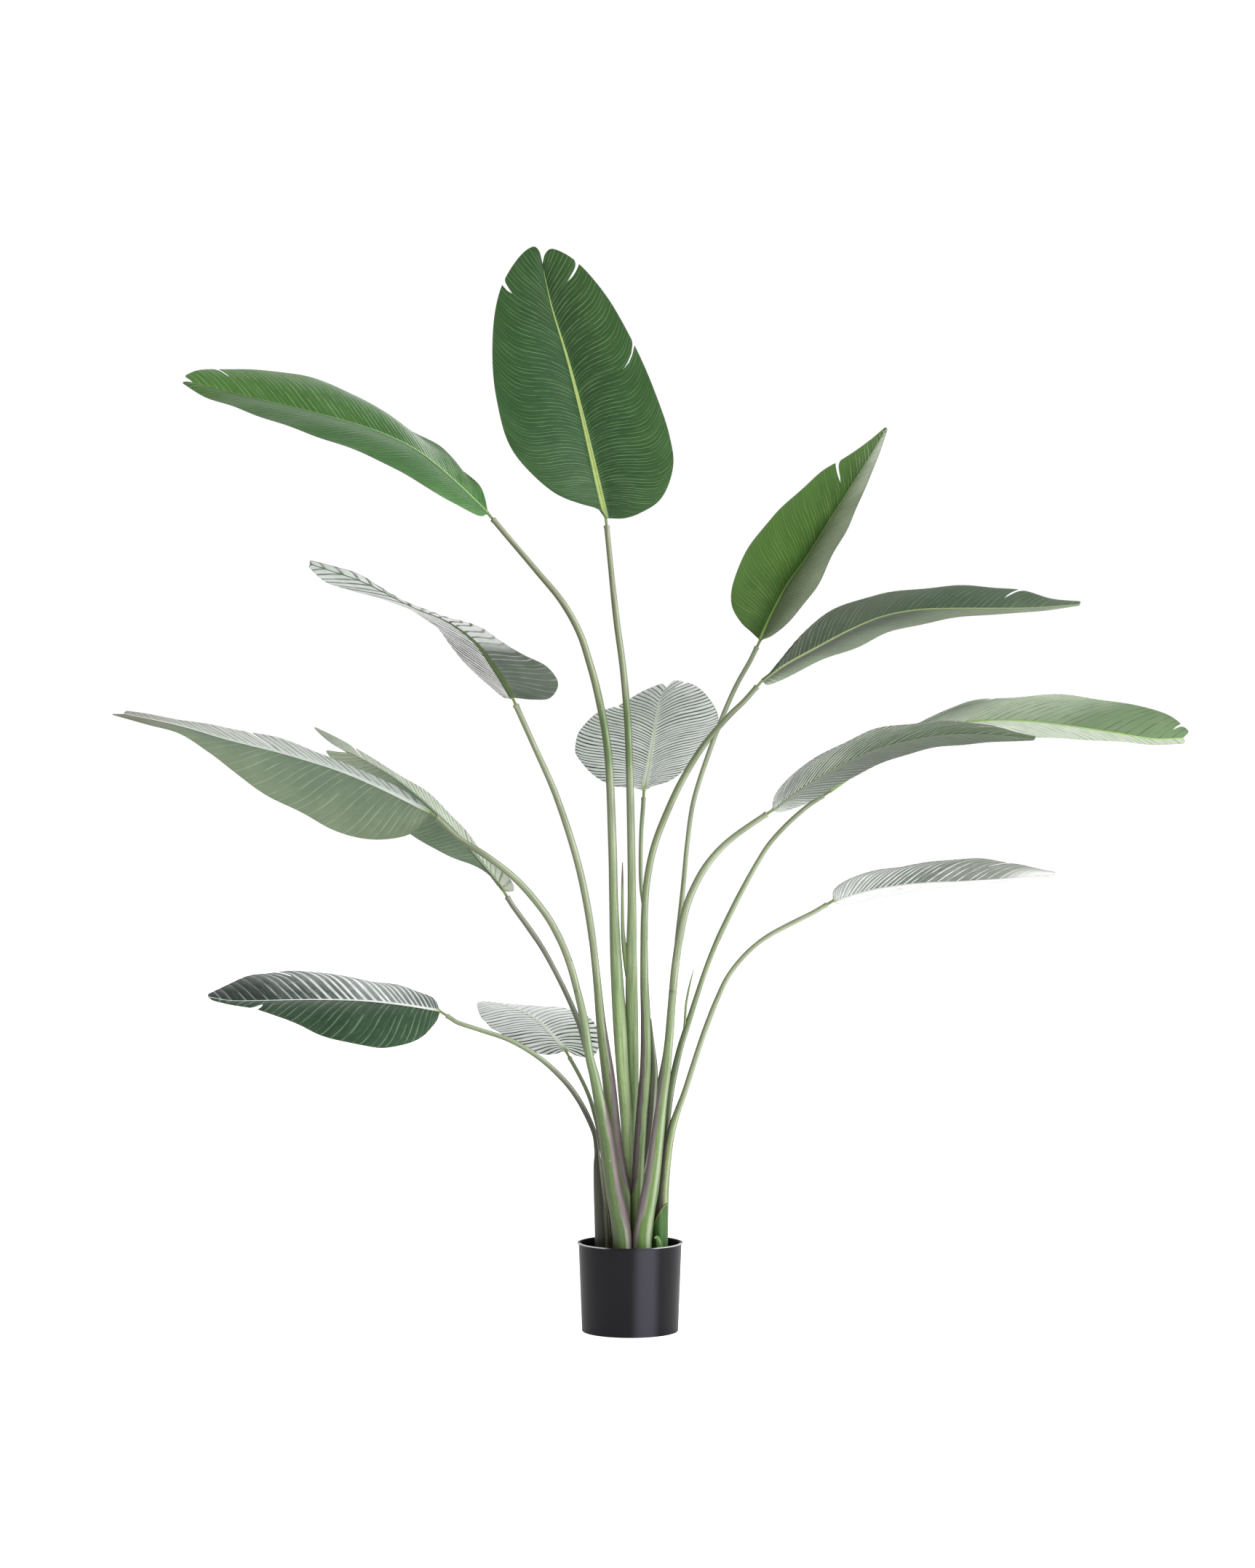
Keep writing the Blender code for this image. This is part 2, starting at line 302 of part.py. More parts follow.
# Cut sheath: a short stub beside the right-hand sheath, cut on a slant that rises to the right
CUT_SHEATH_PLACE = (0.050, -0.020)
CUT_SHEATH_RADIUS = 0.0118
CUT_SHEATH_TOP = 0.193
CUT_SHEATH_SLANT = 1.6
CUT_SHEATH_SIDES = 12

# Curled bud: a small hooked shoot in front of the cut sheath (across, away, up, radius)
BUD_RADIUS = 0.0030
BUD_PATH = [(0.046, -0.042, 0.128, 0.0030), (0.047, -0.043, 0.140, 0.0030), (0.046, -0.045, 0.149, 0.0027),
            (0.043, -0.047, 0.153, 0.0021), (0.040, -0.048, 0.150, 0.0012)]

COLOURS = {
    "pot": ((0.030, 0.028, 0.032), 0.45),
    "filling": ((0.045, 0.036, 0.030), 0.95),
    "leaf": ((0.060, 0.160, 0.065), 0.45),
    "stem": ((0.300, 0.400, 0.200), 0.50),
    "sheath": ((0.200, 0.350, 0.100), 0.50),
    "bud": ((0.350, 0.380, 0.180), 0.60),
}


def placed(across, away, up):
    """The true place of a point that the front view shows across and up from the pot's foot."""
    spread = 1 + away / EYE_DISTANCE
    return np.array([across * spread, away, EYE_HEIGHT + (up - EYE_HEIGHT) * spread])


def unit(vector):
    return vector / np.linalg.norm(vector)


class Line:
    """A smooth line through places set by hand, read by its share of the length, from 0 to 1."""

    SAMPLES = 12

    def __init__(self, places):
        knots = np.array(places, float)
        steps = np.sqrt(np.linalg.norm(np.diff(knots[:, :3], axis=0), axis=1))
        at = np.concatenate([[0], np.cumsum(steps)])
        slopes = np.gradient(knots, at, axis=0)
        fine = []
        for i, step in enumerate(steps):
            for t in np.arange(self.SAMPLES) / self.SAMPLES:
                start = (2 * t**3 - 3 * t**2 + 1) * knots[i] + (t**3 - 2 * t**2 + t) * step * slopes[i]
                end = (3 * t**2 - 2 * t**3) * knots[i + 1] + (t**3 - t**2) * step * slopes[i + 1]
                fine.append(start + end)
        self.fine = np.array(fine + [knots[-1]])
        run = np.linalg.norm(np.diff(self.fine[:, :3], axis=0), axis=1)
        self.run = np.concatenate([[0], np.cumsum(run)])
        self.length = self.run[-1]

    def at(self, share):
        return np.array([np.interp(share * self.length, self.run, column) for column in self.fine.T])

    def direction(self, share):
        return unit(self.at(min(share + 0.01, 1))[:3] - self.at(max(share - 0.01, 0))[:3])


class Leaf:
    """One blade: a midrib and two edges, with the sheet drawn between them along the lateral veins."""

    STEADY = (0.14, 0.86)

    def __init__(self, rib, left, right, slits):
        base = placed(*rib[0])
        self.rib = Line([placed(*place) for place in rib])
        self.edges = {
            "left": Line([base] + [placed(*place) for place in left]),
            "right": Line([base] + [placed(*place) for place in right]),
        }
        self.slits = slits

    def side(self, edge, side):
        """The way from the rib towards an edge, steadied near the base and the tip, where the edges meet."""
        steady = min(max(edge, self.STEADY[0]), self.STEADY[1])
        return unit(self.edges[side].at(steady) - self.rib.at(steady**VEIN_CROWDING))

    def upward(self, edge, side):
        """The direction that the upper side of one half faces."""
        steady = min(max(edge, self.STEADY[0]), self.STEADY[1])
        facing = np.cross(self.side(steady, side), self.rib.direction(steady**VEIN_CROWDING))
        return unit(facing if side == "right" else -facing)

    def point(self, edge, share, side, lift=0.0):
        """A point on the sheet, at a share of the edge's length and a share of the way out from the rib."""
        rib = self.rib.at(edge**VEIN_CROWDING)
        across = self.edges[side].at(edge) - rib + self.side(edge, side) * EDGE_ROLL
        half_width = np.linalg.norm(across)
        inward = min(RIB_HALF_WIDTH * (1 - 0.6 * edge), 0.35 * half_width) / half_width
        reach = inward if share == "rib" else share
        cup = CUP_SHARE * half_width * 4 * reach * (1 - reach)
        wave = EDGE_WAVE_DEPTH * reach**3 * math.sin(10 * math.pi * edge) * math.sin(math.pi * edge)
        back = VEIN_BOW * half_width * 4 * reach * (1 - reach) * math.sin(math.pi * edge)
        bent = rib + across * reach - self.rib.direction(edge**VEIN_CROWDING) * back
        return bent + self.upward(edge, side) * (cup + wave + lift * reach)


def clear_scene():
    for old in list(bpy.data.objects):
        bpy.data.objects.remove(old, do_unlink=True)


def collection(name):
    made = bpy.data.collections.new(name)
    bpy.context.scene.collection.children.link(made)
    return made


def material(name):
    colour, roughness = COLOURS[name]
    made = bpy.data.materials.new(name)
    made.use_nodes = True
    shader = made.node_tree.nodes["Principled BSDF"]
    shader.inputs["Base Color"].default_value = (*colour, 1)
    shader.inputs["Roughness"].default_value = roughness
    shader.inputs["Metallic"].default_value = 0
    return made


def shaded_smooth(mesh, angle):
    mesh.shade_smooth()
    mesh.set_sharp_from_angle(angle=math.radians(angle))


def add_object(name, data, group, finish):
    made = bpy.data.objects.new(name, data)
    data.materials.append(finish)
    group.objects.link(made)
    return made


def turned(name, profile, group, finish):
    """A turned solid: the profile runs from the axis, up inside, over the top and down its outer side."""
    bm = bmesh.new()
    corners = [bm.verts.new((radius, 0, height)) for radius, height in profile]
    for start, end in zip(corners, corners[1:]):
        bm.edges.new((start, end))
    mesh = bpy.data.meshes.new(name)
    bm.to_mesh(mesh)
    bm.free()
    made = add_object(name, mesh, group, finish)
    screw = made.modifiers.new("turn", "SCREW")
    screw.steps = POT_SIDES
    screw.render_steps = POT_SIDES
    screw.use_merge_vertices = True
    screw.merge_threshold = 0.00001
    screw.use_smooth_shade = True
    return made


def pot_inside(height):
    """The radius of the pot's inner wall at a height."""
    share = height / POT_HEIGHT
    return POT_BASE_RADIUS + (POT_TOP_RADIUS - POT_BASE_RADIUS) * share - POT_WALL


def make_pot(group, finish):
    lip = POT_HEIGHT - LIP_HEIGHT
    turned("pot", [
        (0, POT_FLOOR),
        (pot_inside(POT_FLOOR), POT_FLOOR),
        (pot_inside(POT_HEIGHT), POT_HEIGHT - 0.0006),
        (pot_inside(POT_HEIGHT) + 0.0006, POT_HEIGHT),
        (LIP_RADIUS - 0.0006, POT_HEIGHT),
        (LIP_RADIUS, POT_HEIGHT - 0.0008),
        (LIP_RADIUS - 0.0003, lip + 0.0004),
        (POT_TOP_RADIUS, lip - 0.0006),
        (POT_BASE_RADIUS, FOOT_BEVEL),
        (POT_BASE_RADIUS - FOOT_BEVEL, 0),
        (0, 0),
    ], group, finish)


def foot_places():
    """The true place and radius of each thing that stands in the filling."""
    feet = [(x, y, radius) for (x, y), radius, _ in STEMS.values()]
    feet.append((*CUT_SHEATH_PLACE, CUT_SHEATH_RADIUS))
    bud_x, bud_y, _ = placed(*BUD_PATH[0][:3])
    feet.append((bud_x, bud_y, BUD_RADIUS))
    return feet


def make_filling(group, cutters, finish):
    bottom = POT_FLOOR + TOUCHING_GAP
    filling = turned("pot_filling", [
        (0, FILLING_TOP),
        (pot_inside(FILLING_TOP) - TOUCHING_GAP, FILLING_TOP),
        (pot_inside(bottom) - TOUCHING_GAP, bottom),
        (0, bottom),
    ], group, finish)
    floor = STEM_FOOT - TOUCHING_GAP
    bm = bmesh.new()
    for x, y, radius in foot_places():
        drill = (radius + TOUCHING_GAP) / math.cos(math.pi / HOLE_SIDES)
        depth = FILLING_TOP + 0.01 - floor
        made = bmesh.ops.create_cone(
            bm, cap_ends=True, segments=HOLE_SIDES, radius1=drill, radius2=drill, depth=depth)
        bmesh.ops.translate(bm, verts=made["verts"], vec=(x, y, floor + depth / 2))
    mesh = bpy.data.meshes.new("stem_holes")
    bm.to_mesh(mesh)
    bm.free()
    cutter = bpy.data.objects.new("stem_holes", mesh)
    cutters.objects.link(cutter)
    cutter.hide_render = True
    cutter.display_type = "WIRE"
    cut = filling.modifiers.new("stem holes", "BOOLEAN")
    cut.operation = "DIFFERENCE"
    cut.object = cutter


def tube_curve(name, stations):
    """A curve object along stations of (x, y, z, radius), with closed ends."""
    curve = bpy.data.curves.new(name, "CURVE")
    curve.dimensions = "3D"
    curve.bevel_depth = 1.0
    curve.bevel_resolution = TUBE_SIDES // 2 - 2
    curve.use_fill_caps = True
    spline = curve.splines.new("POLY")
    spline.points.add(len(stations) - 1)
    for point, (x, y, z, radius) in zip(spline.points, stations):
        point.co = (x, y, z, 1)
        point.radius = radius
    return bpy.data.objects.new(name, curve)


def as_mesh(curve_object, group, finish):
    """The curve object turned into a mesh with its caps welded on."""
    group.objects.link(curve_object)
    bpy.context.view_layer.update()
    graph = bpy.context.evaluated_depsgraph_get()
    name = curve_object.name
    mesh = bpy.data.meshes.new_from_object(curve_object.evaluated_get(graph))
    bpy.data.objects.remove(curve_object, do_unlink=True)
    bm = bmesh.new()
    bm.from_mesh(mesh)
    bmesh.ops.remove_doubles(bm, verts=bm.verts, dist=0.00001)
    bm.to_mesh(mesh)
    bm.free()
    mesh.materials.clear()
    shaded_smooth(mesh, 50)
    return add_object(name, mesh, group, finish)


def stem_stations(name, leaf):
    """Where the stem runs: straight up out of its hole, along its bow, and straight into the leaf's neck."""
    (x, y), radius, bow = STEMS[name]
    foot = [(x, y, STEM_FOOT, radius)]
    route = [(x, y, STEM_LEAVES_FILLING, radius)]
    route += [(*placed(across, away, up), r) for across, away, up, r in bow]
    leaf_base = leaf.rib.at(0)
    into_leaf = unit(leaf_base - np.array(route[-1][:3]))
    top = leaf_base - into_leaf * (NECK_LENGTH + TOUCHING_GAP)
    straight = top - into_leaf * NECK_LENGTH
    top_radius = bow[-1][3]
    line = Line(route + [(*straight, top_radius)])
    count = max(6, round(line.length / STEM_SPACING))
    bent = [tuple(line.at(share)) for share in np.linspace(0, 1, count + 1)]
    return foot + bent + [(*top, top_radius)]


def make_stem(name, leaf, group, cutters, finish):
    stem = as_mesh(tube_curve(name, stem_stations(name, leaf)), group, finish)
    if name in SIDE_SHOOTS:
        line = Line([(*placed(across, away, up), r) for across, away, up, r in SIDE_SHOOTS[name]])
        stations = [tuple(line.at(share)) for share in np.linspace(0, 1, 7)]
        shoot = as_mesh(tube_curve(name + "_shoot", stations), cutters, finish)
        shoot.hide_render = True
        shoot.display_type = "WIRE"
        join = stem.modifiers.new("side shoot", "BOOLEAN")
        join.operation = "UNION"
        join.object = shoot


def leaf_rows(leaf):
    """The rows across a blade: (share of the edge's length, pleat's side, the slit that opens there, its bank)."""
    slit_rows = {round(slit[1] * LEAF_ROWS): slit for slit in leaf.slits}
    rows = []
    for row in range(1, LEAF_ROWS + 1):
        pleat = (-1) ** row
        slit = slit_rows.get(row)
        if slit:
            rows += [(slit[1], pleat, slit, -1), (slit[1], pleat, slit, 1)]
        else:
            rows.append((row / LEAF_ROWS, pleat, None, 0))
    return rows


def make_leaf(name, leaf, stem_top, group, finish):
    """The sheet is a grid bent onto the blade, cut along its slits, and thickened most at the rib."""
    rows = leaf_rows(leaf)
    columns = [("left", share) for share in reversed(COLUMN_SHARES)] + [("left", "rib"), ("middle", 0)]
    columns += [("right", "rib")] + [("right", share) for share in COLUMN_SHARES]
    neck_shares = (1.0, 0.08)
    neck_rows = len(neck_shares)
    bm = bmesh.new()
    bmesh.ops.create_grid(bm, x_segments=len(columns) - 1, y_segments=len(rows) + neck_rows - 1, size=1)
    weight = bm.verts.layers.deform.verify()
    row_of = {}
    base = leaf.rib.at(0)
    into_leaf = unit(base - stem_top)
    neck_side = unit(leaf.side(0, "right") - leaf.side(0, "left"))
    neck_side = unit(neck_side - into_leaf * neck_side.dot(into_leaf))
    for vert in bm.verts:
        column = round((vert.co.x + 1) / 2 * (len(columns) - 1))
        row = round((vert.co.y + 1) / 2 * (len(rows) + neck_rows - 1))
        row_of[vert] = row
        side, share = columns[column]
        out = 0.35 if share == "rib" else share
        if row < neck_rows:
            signed = -out if side == "left" else out
            place = base - into_leaf * NECK_LENGTH * neck_shares[row] + neck_side * NECK_HALF_WIDTH * signed
            thickness = 2 * NECK_HALF_WIDTH * (1 - 0.7 * out)
        else:
            edge, pleat, slit, bank = rows[row - neck_rows]
            if slit and side == slit[0] and share == 1.0:
                edge += bank * slit[3] / 2 / leaf.edges[side].length
            elif slit and side == slit[0] and share != "rib":
                share = 1 - slit[2]
            if side == "middle":
                place = leaf.rib.at(edge**VEIN_CROWDING)
                rib_share = edge**VEIN_CROWDING
                thickness = RIB_THICKNESS_BASE + (RIB_THICKNESS_TIP - RIB_THICKNESS_BASE) * rib_share
            else:
                place = leaf.point(edge, share, side, PLEAT_DEPTH * pleat * math.sin(math.pi * edge))
                thickness = BLADE_THICKNESS
        vert.co = place
        vert[weight][0] = thickness / RIB_THICKNESS_BASE
    across_slit = []
    for face in bm.faces:
        lower = min(row_of[vert] for vert in face.verts) - neck_rows
        if lower >= 0 and rows[lower][3] == -1:
            across_slit.append(face)
    bmesh.ops.delete(bm, geom=across_slit, context="FACES_ONLY")
    bmesh.ops.remove_doubles(bm, verts=bm.verts, dist=0.00002)
    bmesh.ops.triangulate(bm, faces=bm.faces)
    mesh = bpy.data.meshes.new(name)
    bm.to_mesh(mesh)
    bm.free()
    made = add_object(name, mesh, group, finish)
    made.vertex_groups.new(name="thickness")
    solid = made.modifiers.new("thickness", "SOLIDIFY")
    solid.thickness = RIB_THICKNESS_BASE
    solid.offset = 0
    solid.use_even_offset = False
    solid.vertex_group = "thickness"
    shaded_smooth(mesh, 60)
    return made


def make_cut_sheath(group, finish):
    bm = bmesh.new()
    x, y = CUT_SHEATH_PLACE
    height = CUT_SHEATH_TOP - STEM_FOOT
    bmesh.ops.create_cone(bm, cap_ends=True, segments=CUT_SHEATH_SIDES, radius1=CUT_SHEATH_RADIUS,
                          radius2=CUT_SHEATH_RADIUS, depth=height)
    for vert in bm.verts:
        if vert.co.z > 0:
            vert.co.z += vert.co.x * CUT_SHEATH_SLANT
    bmesh.ops.translate(bm, verts=bm.verts, vec=(x, y, STEM_FOOT + height / 2))
    mesh = bpy.data.meshes.new("cut_sheath")
    bm.to_mesh(mesh)
    bm.free()
    shaded_smooth(mesh, 40)
    add_object("cut_sheath", mesh, group, finish)


def make_curled_bud(group, finish):
    foot_x, foot_y, _ = placed(*BUD_PATH[0][:3])
    foot = [(foot_x, foot_y, STEM_FOOT, BUD_RADIUS), (foot_x, foot_y, FILLING_TOP + 0.006, BUD_RADIUS)]
    line = Line([(*placed(across, away, up), r) for across, away, up, r in BUD_PATH])
    stations = foot + [tuple(line.at(share)) for share in np.linspace(0, 1, 9)]
    as_mesh(tube_curve("curled_bud", stations), group, finish)


def main():
    clear_scene()
    group = collection("potted_banana_plant")
    cutters = collection("cutters")
    finishes = {name: material(name) for name in COLOURS}
    make_pot(group, finishes["pot"])
    make_filling(group, cutters, finishes["filling"])
    for number, (leaf_name, shape) in enumerate(LEAVES.items(), start=1):
        stem_name = f"stem_{number:02d}"
        leaf = Leaf(**shape)
        make_stem(stem_name, leaf, group, cutters, finishes["stem"])
        across, away, up, _ = STEMS[stem_name][2][-1]
        make_leaf(leaf_name, leaf, placed(across, away, up), group, finishes["leaf"])
    make_cut_sheath(group, finishes["sheath"])
    make_curled_bud(group, finishes["bud"])


main()
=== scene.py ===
"""The looks of an artificial banana plant in a nursery pot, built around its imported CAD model.

Metres, +Z up, the origin in the middle of the pot's underside, -Y towards the viewer. The tables of places and
heights are in millimetres. Places on leaves and stems are written as the front view shows them, (across, away,
up), and placed() moves each one along its line of sight. Colours are as seen on a screen, from 0 to 255.
"""

import math

import bpy
import numpy as np
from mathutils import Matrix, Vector


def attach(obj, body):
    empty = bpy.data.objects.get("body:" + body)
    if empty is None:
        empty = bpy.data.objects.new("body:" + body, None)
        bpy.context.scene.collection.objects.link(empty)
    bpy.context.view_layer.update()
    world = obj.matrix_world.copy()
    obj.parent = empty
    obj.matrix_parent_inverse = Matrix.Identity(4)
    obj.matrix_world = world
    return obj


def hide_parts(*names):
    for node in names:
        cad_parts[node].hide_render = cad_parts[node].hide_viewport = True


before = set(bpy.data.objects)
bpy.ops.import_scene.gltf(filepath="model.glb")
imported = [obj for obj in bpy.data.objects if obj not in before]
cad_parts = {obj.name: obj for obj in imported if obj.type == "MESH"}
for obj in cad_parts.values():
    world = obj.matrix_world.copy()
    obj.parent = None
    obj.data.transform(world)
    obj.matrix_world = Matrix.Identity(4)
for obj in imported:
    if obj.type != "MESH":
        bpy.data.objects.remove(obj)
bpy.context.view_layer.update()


# Front view that the places were measured in
EYE_DISTANCE = 5.0
EYE_HEIGHT = 0.8
EYE_ACROSS = -0.0042
EYE_TILT = 1.127
LENS = 69.6
SENSOR_WIDTH = 36

# Pot and filling. For the painted highlight along the lip, a depth below the lip's top and the square of a distance
# beside its middle, each from where the painted highlight begins to where it is full.
POT_HEIGHT = 0.145
POT_BASE_RADIUS = 0.079
POT_TOP_RADIUS = 0.0845
POT_WALL = 0.0025
POT_FLOOR = 0.004
POT_SIDES = 160
POT_ROUNDING = 0.0009
FOOT_WIDTH = 0.006
UNDERSIDE_RISE = 0.0015
POT_DARK = (23, 21, 26)
POT_LIGHT = (30, 28, 33)
LIP_RADIUS = 0.0865
LIP_HEIGHT = 0.0022
LIP_INSET = 0.0004
LIP_DRAFT = 0.0002
LIP_FILLET = 0.0006
LIP_HIGHLIGHT_BAND = (0.0016, 0.0008)
LIP_HIGHLIGHT_BESIDE = (0.0009, 0.0022)
# Near-white painted highlight along the front of the lip
LIP_HIGHLIGHT = (226, 226, 230)
# Painted highlight on the pot: an upright lighter band right of the front, its reach, strength and colour
PAINTED_SHEEN_TURN = 19
PAINTED_SHEEN_REACH = 0.03
PAINTED_SHEEN_STRENGTH = 0.7
PAINTED_SHEEN = (78, 76, 86)
FILLING_TOP = 0.110
FILLING_BED = FILLING_TOP - 0.0028
FILLING_EDGE = FILLING_TOP - 0.0022
FILLING_EDGE_WIDTH = 0.003
FILLING_RINGS = 70
FILLING_SIDES = 220
FILLING_SEED = 5
FILLING_DARK = (46, 38, 33)
FILLING_LIGHT = (92, 78, 66)
CRUMBS = 700
CRUMB_RADII = (0.0018, 0.0042)
CRUMB_FLATNESS = 0.7

# Surfaces: how many grains or soft patches the noise makes to a metre, and how deep the bumps are
GRAIN = {"leaf": 420.0, "stem": 300.0, "pot": 900.0, "filling": 500.0}
PATCHES = {"leaf": 24.0, "stem": 30.0, "pot": 18.0, "filling": 90.0}
BUMPS = {"leaf": 0.0003, "stem": 0.0004, "pot": 0.00012, "filling": 0.0006, "plain": 0.0003}
CRUMB_SCALE = 220.0
STREAK_SCALES = (240, 240, 12)

# Meshes
MERGE_DISTANCE = 0.00001
SAME_PLACE = 1e-7
NOT_ZERO = 1e-9
TOUCHING_GAP = 0.0003

# Stems: the caps of a tube are steps past its end, as (rise, radius) in shares of the last radius
STEM_FOOT = 0.030
STEM_LEAVES_FILLING = FILLING_TOP + 0.003
STEM_STEP = 0.005
STEM_SIDES = 24
SHOOT_SIDES = 16
FOOT_STATIONS = 9
COLLAR_STATIONS = (0.3, 0.55, 0.7, 0.85, 1.0)
COLLAR_SWELL = 0.12
TUBE_FOOT = (0.0, 0.9)
TUBE_CAP = [(0.12, 0.93), (0.20, 0.70), (0.20, 0.0)]
# Painted highlight on the stems' right side, and painted shade on their left side
STEM_PAINTED_HIGHLIGHT = (216, 222, 200)
STEM_PAINTED_SHADE = (110, 102, 90)
SHEATH_LIP = (190, 200, 160)

# Leaves. PLEAT_RISE and PLEAT_CALM are shares of the half blade from rib to edge, and EDGE_LINE is a distance from
# the edge, each from where it begins to where it is full.
NECK_LENGTH = 0.012
NECK_HALF_WIDTH = 0.0022
NECK_ROWS = 6
NECK_END = 0.06
NECK_FLATNESS = 0.95
NECK_LINE = 0.1
NECK_GREY = 0.2
BLADE_THICKNESS = 0.0010
RIB_THICKNESS_BASE = 0.0060
RIB_THICKNESS_TIP = 0.0020
RIB_TAPER = 0.75
RIB_MOST = 0.35
RIB_COLUMNS = 4
BLADE_COLUMNS = 14
ROWS_PER_PLEAT = 6
LEAST_SHARE = 0.0002
PLEAT_UNEVEN = 0.3
PLEAT_LEVEL = 0.6
PLEAT_RISE = (0.02, 0.3)
PLEAT_CALM = (0.8, 1)
PLEAT_CALMED = 0.65
CORDS_PER_PLEAT = 4
EDGE_WAVES = 5
EDGE_WAVE_DEPTH = 0.0012
EDGE_ROLL = 0.0015
EDGE_BROWN = (112, 104, 98)
EDGE_LINE = (0.0011, 0.0004)
VEIN_HOOK = 0.0033
VEIN_HOOK_REACH = 0.006
TIP_ROUND = 0.006
SLIT_ROUND = 0.009
ROUND_MOST = 0.9
SLIT_CLEAR = 0.0005
SLIT_CROWDING = 2.5

